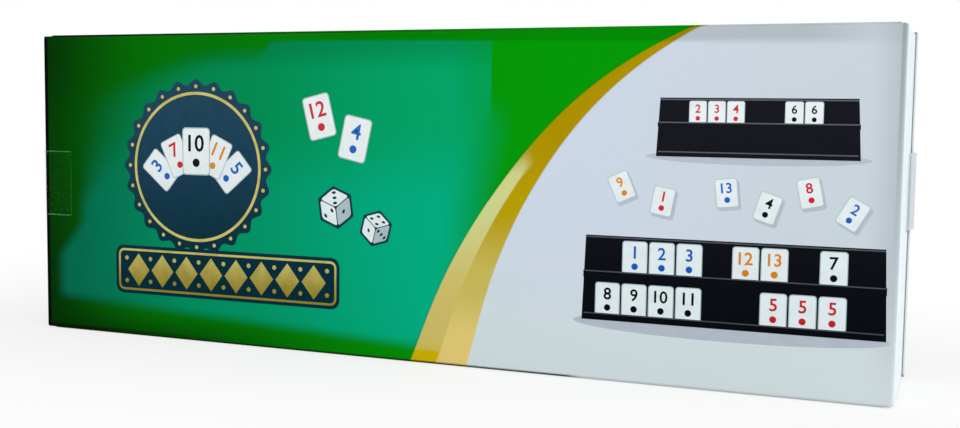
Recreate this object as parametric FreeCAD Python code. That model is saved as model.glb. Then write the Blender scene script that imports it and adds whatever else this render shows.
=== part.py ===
import FreeCAD, Part

import math
import os

from FreeCAD import Vector

# A folding carton of fluted board that holds a rummy set: numbered tiles on edge in a card tray, four
# nested racks on a board pad above them, and a folded leaflet on top. The carton is a glued sleeve with a
# reverse tuck end: the right end flap is hinged on the front panel and the left one on the back panel.
# The cut edge that each flap closes against stands a little proud of it. X runs along the length, the
# front faces -Y, Z is up, and the origin is the centre of the base. Sizes are in millimetres.

# Tiles
TILE_HEIGHT = 37.0
TILE_WIDTH = 25.5
TILE_THICKNESS = 6.4
TILE_CORNER = 3.0
TILES_PER_COLOUR = 26
ROW_COLOURS = (("black", "red"), ("blue", "yellow"))

# Card tray under the tiles
CARD = 1.0
TRAY_FIT = 0.3
TRAY_HEADROOM = 2.0
FINGER_NOTCH_RADIUS = 14.0
FINGER_NOTCH_DEPTH = 10.0

# Racks
RACK_COUNT = 4
TILES_PER_TIER = 12
RACK_END_MARGIN = 5.0
RACK_WALL = 1.8
LEDGE_ROOM = 1.6
LIP_HEIGHT = 7.0
TIER_ROOM = 4.2
TIER_STEP = 4.0
BEAD_HEIGHT = 4.0
BEAD_OVERHANG = 0.4
BEAD_RISE = 2.0
NEST_GAP = 0.6
MOULDED_EDGE = 0.7

# Gate legs on the racks' backs
LEG_THICKNESS = 2.4
LEG_LENGTH = 52.0
LEG_FOOT_HEIGHT = 12.0
LEG_PIVOT_INSET = 62.0
LUG_HEIGHT = 3.0
LUG_DEPTH = 3.2
LUG_MARGIN = 1.0
PIVOT_RADIUS = 0.8
PIVOT_CLEARANCE = 0.08
LEG_END_PLAY = 0.25

# Leaflet
LEAFLET_LENGTH = 205.0
LEAFLET_WIDTH = 46.0
LEAFLET_THICKNESS = 2.4
LEAFLET_SLIT = 0.3

# Board and folds
BOARD = 1.5
FOLD_RADIUS = 1.8
CREASE_INSET = 0.35
CREASE_GAP = 0.3

# Room round the contents
SIDE_ROOM = 0.45
TOP_ROOM = 2.1
TONGUE_ROOM = 3.3

# End closures
END_FIT = 0.3
EDGE_PROUD = 0.8
END_EDGE_INSET = 1.2
TONGUE_LENGTH = 15.0
TONGUE_LEAN = 11.0
TONGUE_CORNER = 9.0
TONGUE_END_INSET = 1.5
DUST_GAP = 0.3
DUST_LENGTH = 35.0
DUST_SIDE_GAP = 0.5
DUST_HINGE_TAPER = 31.0
DUST_TONGUE_GAP = 1.0
DUST_CORNER = 5.0
GLUE_WIDTH = 18.0
GLUE_END_INSET = 9.0
GLUE_TAPER = 20.0

# Tape over the end seams
TAPE_WIDTH = 30.0
TAPE_REACH = 15.0
TAPE_LAP = 18.0
TAPE_THICKNESS = 0.15
TAPE_LIFT = 0.1
LEFT_TAPE_OFFSET = 0.0
LEFT_TAPE_STAND_OFF = 0.9
LEFT_TAPE_TURN = 1.2
LEFT_TAPE_LOOSE = 6.0
RIGHT_TAPE_OFFSET = 6.5
RIGHT_TAPE_STAND_OFF = 2.8
RIGHT_TAPE_TURN = 3.0
RIGHT_TAPE_LOOSE = 8.0

# Worked out: the tile block and its tray
TILES_PER_ROW = len(ROW_COLOURS[0]) * TILES_PER_COLOUR + 1
BLOCK_LENGTH = TILES_PER_ROW * TILE_THICKNESS
BLOCK_WIDTH = len(ROW_COLOURS) * TILE_WIDTH
TRAY_LENGTH = BLOCK_LENGTH + 2 * (TRAY_FIT + CARD)
TRAY_WIDTH = BLOCK_WIDTH + 2 * (TRAY_FIT + CARD)
TRAY_HEIGHT = CARD + TILE_HEIGHT + TRAY_HEADROOM

# Worked out: the racks
LEDGE_DEPTH = TILE_THICKNESS + LEDGE_ROOM
TIER_HEIGHT = TILE_HEIGHT + RACK_WALL + TIER_ROOM
RACK_LENGTH = TILES_PER_TIER * TILE_WIDTH + 2 * RACK_END_MARGIN
RACK_HEIGHT = 2 * TIER_HEIGHT + BEAD_RISE
RACK_PITCH = LEDGE_DEPTH + 2 * RACK_WALL + NEST_GAP
RACK_BACK = TIER_STEP + RACK_WALL + BEAD_OVERHANG
RACK_STACK = LEDGE_DEPTH + RACK_WALL + (RACK_COUNT - 1) * RACK_PITCH + RACK_BACK
LUG_HALF = PIVOT_RADIUS + RACK_WALL / 2
LOWER_LUG = LIP_HEIGHT + LUG_MARGIN
UPPER_LUG = TIER_HEIGHT - RACK_WALL - LUG_MARGIN - LUG_HEIGHT
PIVOT_DEPTH = RACK_WALL + LUG_DEPTH / 2

# Worked out: the carton, which is made to fit what it holds
INNER_DEPTH = max(TRAY_WIDTH, RACK_STACK + BOARD) + 2 * SIDE_ROOM
DEPTH = INNER_DEPTH + 2 * BOARD
PAD_LEVEL = BOARD + TRAY_HEIGHT
RACK_LEVEL = PAD_LEVEL + BOARD
LEAFLET_LEVEL = RACK_LEVEL + RACK_HEIGHT
HEIGHT = LEAFLET_LEVEL + LEAFLET_THICKNESS + TOP_ROOM + BOARD
CONTENTS_LENGTH = max(TRAY_LENGTH, RACK_LENGTH)
LENGTH = CONTENTS_LENGTH + 2 * (TONGUE_ROOM + TONGUE_LENGTH + EDGE_PROUD)
CUT_X = LENGTH / 2
END_X = CUT_X - EDGE_PROUD
FRONT_Y = -DEPTH / 2
BACK_Y = DEPTH / 2
DUST_X = END_X - BOARD - DUST_GAP
END_FLAP_WIDTH = DEPTH - BOARD - END_FIT
TONGUE_ANGLE = 90.0 - TONGUE_LEAN

X = Vector(1, 0, 0)
Y = Vector(0, 1, 0)
Z = Vector(0, 0, 1)
ORIGIN = Vector(0, 0, 0)


def extruded(edges, direction):
    """A solid from a closed loop of edges in one plane, carried along a vector."""
    return Part.Face(Part.Wire(edges)).extrude(direction)


def loop(points):
    """The straight edges of a closed outline."""
    closed = points + [points[0]]
    return [Part.makeLine(a, b) for a, b in zip(closed, closed[1:])]


def rounded_loop(points, radii, chords=0):
    """The edges of a closed outline whose corners have the given radii, 0 where a corner stays sharp. A
    corner is a true arc, or one or two straight chords of it on small pieces that are made many times."""
    entries = []
    exits = []
    middles = []
    count = len(points)
    for i, (corner, radius) in enumerate(zip(points, radii)):
        back = (points[i - 1] - corner).normalize()
        ahead = (points[(i + 1) % count] - corner).normalize()
        half = back.getAngle(ahead) / 2
        tangent = radius / math.tan(half)
        centre_way = (back + ahead).normalize()
        entries.append(corner + back * tangent)
        exits.append(corner + ahead * tangent)
        middles.append(corner + centre_way * (radius / math.sin(half) - radius))
    edges = []
    for i, radius in enumerate(radii):
        if radius > 0 and chords == 0:
            edges.append(Part.Arc(entries[i], middles[i], exits[i]).toShape())
        elif radius > 0 and chords == 1:
            edges.append(Part.makeLine(entries[i], exits[i]))
        elif radius > 0:
            edges.append(Part.makeLine(entries[i], middles[i]))
            edges.append(Part.makeLine(middles[i], exits[i]))
        following = entries[(i + 1) % count]
        if exits[i].distanceToPoint(following) > 1e-6:
            edges.append(Part.makeLine(exits[i], following))
    return edges


def box(low, high):
    """An upright box from its lowest corner to its highest."""
    size = high - low
    return Part.makeBox(size.x, size.y, size.z, low)


# ---------------------------------------------------------------- board

def raw_end(length):
    """The corners at a cut end of a board strip, from the outer face to the inner, as (along, outward)
    pairs."""
    return [(length, 0.0), (length, -BOARD)]


def crease_end(length, angle):
    """The corners at a live crease between two plates that meet at an angle. The crease's axis lies
    CREASE_INSET inside both outer faces. Outside the axis the plate is cut square to the mitre, so that
    the two plates only meet at the axis when the flap swings out. Inside it they are mitred, with half
    the gap taken off each."""
    slope = 1 / math.tan(math.radians(angle) / 2)
    axis = (length - CREASE_INSET * slope, -CREASE_INSET)
    norm = math.hypot(slope, 1)
    mitre = (-slope / norm, -1 / norm)
    aside = (-1 / norm, slope / norm)
    half_gap = CREASE_GAP / 2
    shifted = (axis[0] + aside[0] * half_gap, axis[1] + aside[1] * half_gap)
    outer_along = shifted[0] + aside[0] / aside[1] * (0.0 - shifted[1])
    inner_along = shifted[0] + mitre[0] / mitre[1] * (-BOARD - shifted[1])
    return [(outer_along, 0.0), shifted, (inner_along, -BOARD)]


def board_strip(origin, along, outward, across, length, width, start, end):
    """A board plate with its outer face through origin. Its section lies in the plane of along and
    outward and is carried along across by width. start and end are "raw", "fold" or the angle of a live
    crease. A fold is mitred at 45 degrees and rounded outside, so that two folded plates make one bent
    sheet."""

    def place(pair):
        return origin + along * pair[0] + outward * pair[1]

    def mirrored(pairs):
        return [(length - pair[0], pair[1]) for pair in reversed(pairs)]

    def corners(kind):
        if kind == "raw":
            return raw_end(length)
        if kind == "fold":
            return [(length, 0.0), (length - BOARD, -BOARD)]
        return crease_end(length, kind)

    first = mirrored(corners(start))
    last = corners(end)
    edges = []
    outer_from = first[-1]
    outer_to = last[0]
    cut_in = FOLD_RADIUS * (1 - math.sin(math.pi / 4))
    bend_in = FOLD_RADIUS * (1 - math.sin(math.pi / 8))
    bend_out = FOLD_RADIUS * (1 - math.cos(math.pi / 8))
    if start == "fold":
        cut = (cut_in, -cut_in)
        bend = (bend_in, -bend_out)
        outer_from = (FOLD_RADIUS, 0.0)
        edges.append(Part.makeLine(place(first[0]), place(cut)))
        edges.append(Part.Arc(place(cut), place(bend), place(outer_from)).toShape())
    else:
        edges.extend(Part.makeLine(place(a), place(b)) for a, b in zip(first, first[1:]))
    if end == "fold":
        outer_to = (length - FOLD_RADIUS, 0.0)
    edges.append(Part.makeLine(place(outer_from), place(outer_to)))
    if end == "fold":
        bend = (length - bend_in, -bend_out)
        cut = (length - cut_in, -cut_in)
        edges.append(Part.Arc(place(outer_to), place(bend), place(cut)).toShape())
        edges.append(Part.makeLine(place(cut), place(last[-1])))
    else:
        edges.extend(Part.makeLine(place(a), place(b)) for a, b in zip(last, last[1:]))
    edges.append(Part.makeLine(place(last[-1]), place(first[0])))
    return extruded(edges, across * width)


def front_panel():
    """Folded along its top and bottom edges, creased into the right end flap and cut at the left."""
    corner = Vector(-CUT_X, FRONT_Y, 0)
    length = CUT_X + END_X
    upright = board_strip(corner, Z, -Y, X, HEIGHT, length, "fold", "fold")
    level = board_strip(corner, X, -Y, Z, length, HEIGHT, "raw", 90.0)
    return upright.common(level)


def back_panel():
    """Folded along its bottom edge, cut along its top, creased into the left end flap and cut at the
    right."""
    corner = Vector(-END_X, BACK_Y, 0)
    length = CUT_X + END_X
    upright = board_strip(corner, Z, Y, X, HEIGHT, length, "fold", "raw")
    level = board_strip(corner, X, Y, Z, length, HEIGHT, 90.0, "raw")
    return upright.common(level)


def narrow_panel(height, outward, depth):
    """The top or the bottom panel: folded along both long edges, creased into a dust flap at each end."""
    corner = Vector(-DUST_X, FRONT_Y, height)
    across = board_strip(corner, Y, outward, X, depth, 2 * DUST_X, "fold", "fold")
    lengthwise = board_strip(corner, X, outward, Y, 2 * DUST_X, depth, 90.0, 90.0)
    return across.common(lengthwise)


def glue_flap():
    """The maker's joint: folded down from the top panel and glued inside the back panel, its ends cut
    back."""
    corner = Vector(-DUST_X, BACK_Y - BOARD, HEIGHT)
    drop = BOARD + GLUE_WIDTH
    strip = board_strip(corner, -Z, Y, X, drop, 2 * DUST_X, "fold", "raw")
    low = HEIGHT - drop
    half_top = DUST_X - GLUE_END_INSET
    half_low = half_top - drop * math.tan(math.radians(GLUE_TAPER))
    face_y = BACK_Y - 2 * BOARD
    outline = [
        Vector(-half_low, face_y, low),
        Vector(half_low, face_y, low),
        Vector(half_top, face_y, HEIGHT),
        Vector(-half_top, face_y, HEIGHT),
    ]
    return strip.common(extruded(loop(outline), Y * BOARD))


def end_flap():
    """The right end flap: creased to the front panel, with the tongue's crease at its far edge."""
    corner = Vector(END_X, FRONT_Y, END_EDGE_INSET)
    width = HEIGHT - 2 * END_EDGE_INSET
    return board_strip(corner, Y, X, Z, END_FLAP_WIDTH, width, 90.0, TONGUE_ANGLE)


def tuck_tongue():
    """The right tongue: it leans in from the end flap's far edge and slides down behind the back
    panel."""
    lean = math.radians(TONGUE_LEAN)
    along = Vector(-math.cos(lean), -math.sin(lean), 0)
    outward = Vector(-math.sin(lean), math.cos(lean), 0)
    low = END_EDGE_INSET + TONGUE_END_INSET
    width = HEIGHT - 2 * low
    corner = Vector(END_X, FRONT_Y + END_FLAP_WIDTH, low)
    strip = board_strip(corner, along, outward, Z, TONGUE_LENGTH, width, TONGUE_ANGLE, "raw")
    root = corner - outward * BOARD
    tip = root + along * TONGUE_LENGTH
    outline = [root, root + Z * width, tip + Z * width, tip]
    rounded = rounded_loop(outline, [0, 0, TONGUE_CORNER, TONGUE_CORNER])
    return strip.common(extruded(rounded, outward * BOARD))


def dust_flap(hinge_height, downward):
    """A right dust flap: narrow enough to pass the tongue, and cut back along the end flap's hinge so
    that it can follow the end flap out."""
    strip = board_strip(
        Vector(DUST_X, FRONT_Y, hinge_height), downward, X, Y, DUST_LENGTH, DEPTH, 90.0, "raw"
    )
    hinge_side = FRONT_Y + BOARD + DUST_SIDE_GAP
    lean = math.tan(math.radians(TONGUE_LEAN))
    tongue_depth = BOARD / math.cos(math.radians(TONGUE_LEAN)) + (BOARD + END_X - DUST_X) * lean
    tongue_side = BACK_Y - BOARD - END_FIT - tongue_depth - DUST_TONGUE_GAP
    shift = DUST_LENGTH * math.tan(math.radians(DUST_HINGE_TAPER))
    root = Vector(DUST_X - BOARD, 0, hinge_height)
    tip = root + downward * DUST_LENGTH
    outline = [
        root + Y * hinge_side,
        root + Y * tongue_side,
        tip + Y * tongue_side,
        tip + Y * (hinge_side + shift),
    ]
    rounded = rounded_loop(outline, [0, 0, DUST_CORNER, DUST_CORNER])
    return strip.common(extruded(rounded, X * BOARD))


def offset_path(points, distance):
    """An open path moved sideways, to the right of its course, so that each run keeps its direction."""
    turned = [(b - a).normalize().cross(Z) for a, b in zip(points, points[1:])]
    moved = [points[0] + turned[0] * distance]
    for point, before, after in zip(points[1:], turned, turned[1:]):
        moved.append(point + (before + after) * (distance / (1 + before.dot(after))))
    moved.append(points[-1] + turned[-1] * distance)
    return moved


def tape_seal(offset, stand_off, turn, loose):
    """Clear tape over the right seam. It is stuck to the end flap, comes loose before the far edge, turns
    round the cut edge of the back panel in an open bend and lies on that panel. offset is how far its
    middle stands above the carton's, stand_off how far its bend would reach past the edge with no radius,
    turn the radius, and loose the length on each side that isn't stuck."""
    low = HEIGHT / 2 + offset - TAPE_WIDTH / 2
    back = BACK_Y + TAPE_LIFT
    inside = [
        Vector(END_X, FRONT_Y + END_FLAP_WIDTH - TAPE_LAP, low),
        Vector(END_X, BACK_Y - loose, low),
        Vector(CUT_X + stand_off, back + stand_off, low),
        Vector(CUT_X - loose, back, low),
        Vector(CUT_X - TAPE_REACH, back, low),
    ]
    outside = offset_path(inside, TAPE_THICKNESS)
    radii = [0, 0, turn, 0, 0] + [0, 0, turn + TAPE_THICKNESS, 0, 0]
    return extruded(rounded_loop(inside + outside[::-1], radii), Z * TAPE_WIDTH)


# ---------------------------------------------------------------- contents

def tile_tray():
    """An open card tray of five panels. The long walls are notched in the middle so that fingers reach the
    tiles, and the short walls stand between them."""
    half_x = TRAY_LENGTH / 2
    half_y = TRAY_WIDTH / 2
    floor_top = BOARD + CARD
    rim = BOARD + TRAY_HEIGHT
    notch_level = rim + FINGER_NOTCH_RADIUS - FINGER_NOTCH_DEPTH
    notch = Part.makeCylinder(FINGER_NOTCH_RADIUS, TRAY_WIDTH, Vector(0, -half_y, notch_level), Y)
    front = box(Vector(-half_x, -half_y, floor_top), Vector(half_x, CARD - half_y, rim))
    back = box(Vector(-half_x, half_y - CARD, floor_top), Vector(half_x, half_y, rim))
    left = box(Vector(-half_x, CARD - half_y, floor_top), Vector(CARD - half_x, half_y - CARD, rim))
    right = box(Vector(half_x - CARD, CARD - half_y, floor_top), Vector(half_x, half_y - CARD, rim))
    return {
        "tray_floor": box(Vector(-half_x, -half_y, BOARD), Vector(half_x, half_y, floor_top)),
        "tray_front_wall": front.cut(notch),
        "tray_back_wall": back.cut(notch),
        "tray_left_wall": left,
        "tray_right_wall": right,
    }


def tile(place, row):
    """One tile on edge, its face across X, at a place counted from the left in a row counted from the
    front."""
    x = -BLOCK_LENGTH / 2 + place * TILE_THICKNESS
    y = -BLOCK_WIDTH / 2 + row * TILE_WIDTH
    z = BOARD + CARD
    outline = [
        Vector(x, y, z),
        Vector(x, y + TILE_WIDTH, z),
        Vector(x, y + TILE_WIDTH, z + TILE_HEIGHT),
        Vector(x, y, z + TILE_HEIGHT),
    ]
    return extruded(rounded_loop(outline, [TILE_CORNER] * 4, chords=2), X * TILE_THICKNESS)


def tile_groups():
    """Two rows of tiles, each with two colours side by side and one joker between them."""
    groups = {"joker": []}
    for row, colours in enumerate(ROW_COLOURS):
        place = 0
        for number, colour in enumerate(colours):
            if number:
                groups["joker"].append(tile(place, row))
                place += 1
            groups[colour] = [tile(place + i, row) for i in range(TILES_PER_COLOUR)]
            place += TILES_PER_COLOUR
    return {colour + "_tiles": Part.makeCompound(tiles) for colour, tiles in groups.items()}


def divider_pad():
    """A board pad cut to the tray, which lies on its walls and carries the racks."""
    half_x = TRAY_LENGTH / 2
    half_y = TRAY_WIDTH / 2
    return box(Vector(-half_x, -half_y, PAD_LEVEL), Vector(half_x, half_y, RACK_LEVEL))


def rack_plane(index):
    """Where the front face of a rack's lower plate stands, counting the racks from the front."""
    return FRONT_Y + BOARD + SIDE_ROOM + LEDGE_DEPTH + RACK_WALL + index * RACK_PITCH


def rack_profile(plane):
    """A rack's outline: a ledge and a lip for each tier, the upper plate set back by TIER_STEP, and a
    bead along the top edge. Each entry is how far it stands forward of the lower plate, its height, and
    its corner radius."""
    wall = RACK_WALL
    shelf = TIER_HEIGHT
    upper_lip = LEDGE_DEPTH - TIER_STEP
    soft = MOULDED_EDGE
    bead_foot = RACK_HEIGHT - BEAD_HEIGHT
    corners = [
        (LEDGE_DEPTH + wall, 0, soft),
        (LEDGE_DEPTH + wall, LIP_HEIGHT, soft),
        (LEDGE_DEPTH, LIP_HEIGHT, soft),
        (LEDGE_DEPTH, wall, 0),
        (0, wall, 0),
        (0, shelf - wall, 0),
        (upper_lip + wall, shelf - wall, soft),
        (upper_lip + wall, shelf + LIP_HEIGHT - wall, soft),
        (upper_lip, shelf + LIP_HEIGHT - wall, soft),
        (upper_lip, shelf, 0),
        (-TIER_STEP, shelf, 0),
        (-TIER_STEP, bead_foot, 0),
        (-TIER_STEP + BEAD_OVERHANG, bead_foot + BEAD_OVERHANG, 0),
        (-TIER_STEP + BEAD_OVERHANG, RACK_HEIGHT, soft),
        (-RACK_BACK, RACK_HEIGHT, soft),
        (-RACK_BACK, bead_foot + BEAD_OVERHANG, 0),
        (-TIER_STEP - wall, bead_foot, 0),
        (-TIER_STEP - wall, shelf - wall, soft),
        (-wall, shelf - wall, 0),
        (-wall, 0, soft),
    ]
    points = [Vector(-RACK_LENGTH / 2, plane - forward, RACK_LEVEL + up) for forward, up, _ in corners]
    return rounded_loop(points, [radius for _, _, radius in corners], chords=1)


def pivot_x(side):
    """Where a leg's pivot stands along the rack; side is -1 at the left and 1 at the right."""
    return side * (RACK_LENGTH / 2 - LEG_PIVOT_INSET)


def rack(index):
    """One moulded rack with the lugs of its two legs on the lower plate's back."""
    plane = rack_plane(index)
    body = extruded(rack_profile(plane), X * RACK_LENGTH)
    for side in (-1, 1):
        x = pivot_x(side)
        for foot in (LOWER_LUG, UPPER_LUG):
            z = RACK_LEVEL + foot
            lug = box(
                Vector(x - LUG_HALF, plane + RACK_WALL, z),
                Vector(x + LUG_HALF, plane + RACK_WALL + LUG_DEPTH, z + LUG_HEIGHT),
            )
            hole = Part.makeCylinder(
                PIVOT_RADIUS + PIVOT_CLEARANCE, LUG_HEIGHT, Vector(x, plane + PIVOT_DEPTH, z), Z
            )
            body = body.fuse(lug.cut(hole))
    return body.removeSplitter()


def rack_leg(index, side):
    """A gate leg folded flat behind the lower plate, pointing to the rack's middle. It hangs on two
    moulded pivots, and its top edge falls towards the foot."""
    plane = rack_plane(index)
    x = pivot_x(side)
    low = RACK_LEVEL + LOWER_LUG + LUG_HEIGHT + LEG_END_PLAY
    high = RACK_LEVEL + UPPER_LUG - LEG_END_PLAY
    front = plane + PIVOT_DEPTH - LEG_THICKNESS / 2
    heel = x + side * LEG_THICKNESS / 2
    tip = x - side * LEG_LENGTH
    outline = [
        Vector(heel, front, low),
        Vector(tip, front, low),
        Vector(tip, front, low + LEG_FOOT_HEIGHT),
        Vector(heel, front, high),
    ]
    corners = [PIVOT_RADIUS, LEG_THICKNESS, LEG_THICKNESS, PIVOT_RADIUS]
    plate = extruded(rounded_loop(outline, corners, chords=2), Y * LEG_THICKNESS)
    reach = LEG_END_PLAY + LUG_HEIGHT
    axis = Vector(x, plane + PIVOT_DEPTH, 0)
    lower = Part.makeCylinder(PIVOT_RADIUS, reach, axis + Z * (low - reach), Z)
    upper = Part.makeCylinder(PIVOT_RADIUS, reach + LEG_THICKNESS, axis + Z * (high - LEG_THICKNESS), Z)
    return plate.fuse([lower, upper]).removeSplitter()


def rules_leaflet():
    """A sheet folded in two, its round fold to the front, lying on the racks."""
    half_y = LEAFLET_WIDTH / 2
    radius = LEAFLET_THICKNESS / 2
    slit = LEAFLET_SLIT / 2
    middle = LEAFLET_LEVEL + radius
    x = -LEAFLET_LENGTH / 2

    def at(y, z):
        return Vector(x, y, z)

    fold = radius - half_y
    edges = [
        Part.makeLine(at(half_y, middle + slit), at(half_y, middle + radius)),
        Part.makeLine(at(half_y, middle + radius), at(fold, middle + radius)),
        Part.Arc(at(fold, middle + radius), at(-half_y, middle), at(fold, middle - radius)).toShape(),
        Part.makeLine(at(fold, middle - radius), at(half_y, middle - radius)),
        Part.makeLine(at(half_y, middle - radius), at(half_y, middle - slit)),
        Part.makeLine(at(half_y, middle - slit), at(fold, middle - slit)),
        Part.Arc(at(fold, middle - slit), at(fold - slit, middle), at(fold, middle + slit)).toShape(),
        Part.makeLine(at(fold, middle + slit), at(half_y, middle + slit)),
    ]
    return extruded(edges, X * LEAFLET_LENGTH)


# ---------------------------------------------------------------- assembly

def closure(*tape):
    """The pieces of the right end, with a tape of the given offset, stand-off, turn and loose length."""
    return {
        "end_flap": end_flap(),
        "tuck_tongue": tuck_tongue(),
        "upper_dust_flap": dust_flap(HEIGHT, -Z),
        "lower_dust_flap": dust_flap(0.0, Z),
        "tape_seal": tape_seal(*tape),
    }


def sleeve():
    """The glued tube of board."""
    return {
        "front_panel": front_panel(),
        "back_panel": back_panel(),
        "top_panel": narrow_panel(HEIGHT, Z, DEPTH - BOARD),
        "bottom_panel": narrow_panel(0.0, -Z, DEPTH),
        "glue_flap": glue_flap(),
    }


def contents():
    """What the carton holds."""
    pieces = {"divider_pad": divider_pad(), "rules_leaflet": rules_leaflet()}
    pieces.update(tile_tray())
    pieces.update(tile_groups())
    for index in range(RACK_COUNT):
        name = f"rack_{index + 1}"
        pieces[name] = rack(index)
        pieces[name + "_left_leg"] = rack_leg(index, -1)
        pieces[name + "_right_leg"] = rack_leg(index, 1)
    return pieces


def assembly():
    """Every piece by name. The left end is the right one turned half a turn about the carton's upright
    axis."""
    pieces = sleeve()
    right = closure(RIGHT_TAPE_OFFSET, RIGHT_TAPE_STAND_OFF, RIGHT_TAPE_TURN, RIGHT_TAPE_LOOSE)
    left = closure(LEFT_TAPE_OFFSET, LEFT_TAPE_STAND_OFF, LEFT_TAPE_TURN, LEFT_TAPE_LOOSE)
    for name, shape in right.items():
        pieces["right_" + name] = shape
    for name, shape in left.items():
        turned = shape.copy()
        turned.rotate(ORIGIN, Z, 180)
        pieces["left_" + name] = turned
    pieces.update(contents())
    return pieces


os.makedirs("parts", exist_ok=True)
for piece_name, piece in assembly().items():
    piece.exportStep(f"parts/{piece_name}.step")
print(f"carton {LENGTH:.1f} x {DEPTH:.1f} x {HEIGHT:.1f} mm")
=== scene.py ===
import math
from functools import partialmethod

import bpy
import numpy as np
from mathutils import Matrix, Vector


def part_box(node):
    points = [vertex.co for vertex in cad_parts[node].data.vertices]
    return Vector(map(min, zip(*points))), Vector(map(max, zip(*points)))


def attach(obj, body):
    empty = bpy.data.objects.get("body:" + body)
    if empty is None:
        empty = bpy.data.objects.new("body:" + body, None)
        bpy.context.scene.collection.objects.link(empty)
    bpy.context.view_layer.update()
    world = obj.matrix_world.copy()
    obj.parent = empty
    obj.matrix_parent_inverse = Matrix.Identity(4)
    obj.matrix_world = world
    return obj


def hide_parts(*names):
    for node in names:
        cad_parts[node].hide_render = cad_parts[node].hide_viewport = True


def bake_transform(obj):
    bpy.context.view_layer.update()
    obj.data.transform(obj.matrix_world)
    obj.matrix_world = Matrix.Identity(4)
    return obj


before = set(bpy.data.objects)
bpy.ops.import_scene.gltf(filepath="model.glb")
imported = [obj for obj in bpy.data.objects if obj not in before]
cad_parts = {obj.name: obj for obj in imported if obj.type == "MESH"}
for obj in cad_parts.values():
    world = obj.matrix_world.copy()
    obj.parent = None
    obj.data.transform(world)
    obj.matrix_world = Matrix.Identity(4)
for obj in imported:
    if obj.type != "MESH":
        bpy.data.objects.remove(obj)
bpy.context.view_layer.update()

# A long folding carton of fluted board. X runs along it to the right, the printed front faces -Y, Z is up.
# Lengths below are in millimetres and MM turns them into metres.
MM = 0.001


def span(node):
    """The lowest and highest corner of a node, in millimetres."""
    low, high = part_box(node)
    return np.array(low) / MM, np.array(high) / MM


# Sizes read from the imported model
FRONT_LOW, FRONT_HIGH = span("front_panel")
GLUE_LOW, GLUE_HIGH = span("glue_flap")
FRONT_Y = float(FRONT_LOW[1])
CUT_X = float(-FRONT_LOW[0])
BACK_Y = float(span("back_panel")[1][1])
BOARD = float(FRONT_HIGH[1] - FRONT_LOW[1])
HEIGHT = float(span("top_panel")[1][2])
END_X = float(span("right_end_flap")[1][0])
END_LEVEL = float(span("right_end_flap")[0][2])
DUST_X = float(span("right_upper_dust_flap")[1][0])
TONGUE_LEVEL = float(span("right_tuck_tongue")[0][2])
TOP_DEPTH = BACK_Y - BOARD - FRONT_Y
MIDDLE = HEIGHT / 2

# Board and folds
SKIN = 0.08
LINER = 0.25
MEDIUM = 0.2
MEDIUM_BITE = 0.02
FLUTE_PITCH = 3.4
FLUTE_POINTS = 10
FOLD_RADIUS = 1.8
FOLD_STEPS = 7
CREASE_LAND = 1.45
CREASE_RADIUS = 1.15
CREASE_STEPS = 13
PANEL_STATIONS = 40
PANEL_SPACING = 4.0
SQUARE = math.pi / 4

# End closures
END_FIT = 0.3
END_FLAP_WIDTH = BACK_Y - FRONT_Y - BOARD - END_FIT
END_STATIONS = 16
UPRIGHT_STATIONS = 34
HINGE_FLARE = END_LEVEL - FOLD_RADIUS * 0.29
TONGUE_LENGTH = 15.0
TONGUE_LEAN = math.radians(11.0)
TONGUE_CORNER = 9.0
TONGUE_CORNER_STEPS = 9
DUST_CORNER = 5.0
DUST_CORNER_STEPS = 7
DUST_STATIONS = 24
DUST_TAPER = math.radians(31.0)
CORNER_LEAD = 5
GLUE_STATIONS = 30
GLUE_TAPER = math.radians(20.0)

# Print films, stacked in front of the laminate within SKIN
FILM = 0.005
FILM_STEP = 0.0075

# Camera
CAMERA_PLACE = Vector((211.2, -475.9, 101.9)) * MM
CAMERA_AIM = Vector((-0.3750, 0.9235, -0.0803))
CAMERA_ROLL = math.radians(0.764)
CAMERA_LENS = 45.26
SENSOR_WIDTH = 36.0
CLIP_START = 0.01

X = np.array((1.0, 0.0, 0.0))
Y = np.array((0.0, 1.0, 0.0))
Z = np.array((0.0, 0.0, 1.0))


def place_new(name, data):
    """A new object in the scene."""
    made = bpy.data.objects.new(name, data)
    bpy.context.scene.collection.objects.link(made)
    return made


# ---------------------------------------------------------------- camera

def make_camera():
    """A level pinhole camera turned by its roll about its own line of sight."""
    data = bpy.data.cameras.new("camera")
    data.lens = CAMERA_LENS
    data.sensor_width = SENSOR_WIDTH
    data.clip_start = CLIP_START
    camera = place_new("camera", data)
    turned = CAMERA_AIM.to_track_quat("-Z", "Y").to_matrix() @ Matrix.Rotation(CAMERA_ROLL, 3, "Z")
    camera.matrix_world = Matrix.Translation(CAMERA_PLACE) @ turned.to_4x4()
    bpy.context.scene.camera = camera


make_camera()


# ---------------------------------------------------------------- meshes

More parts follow.
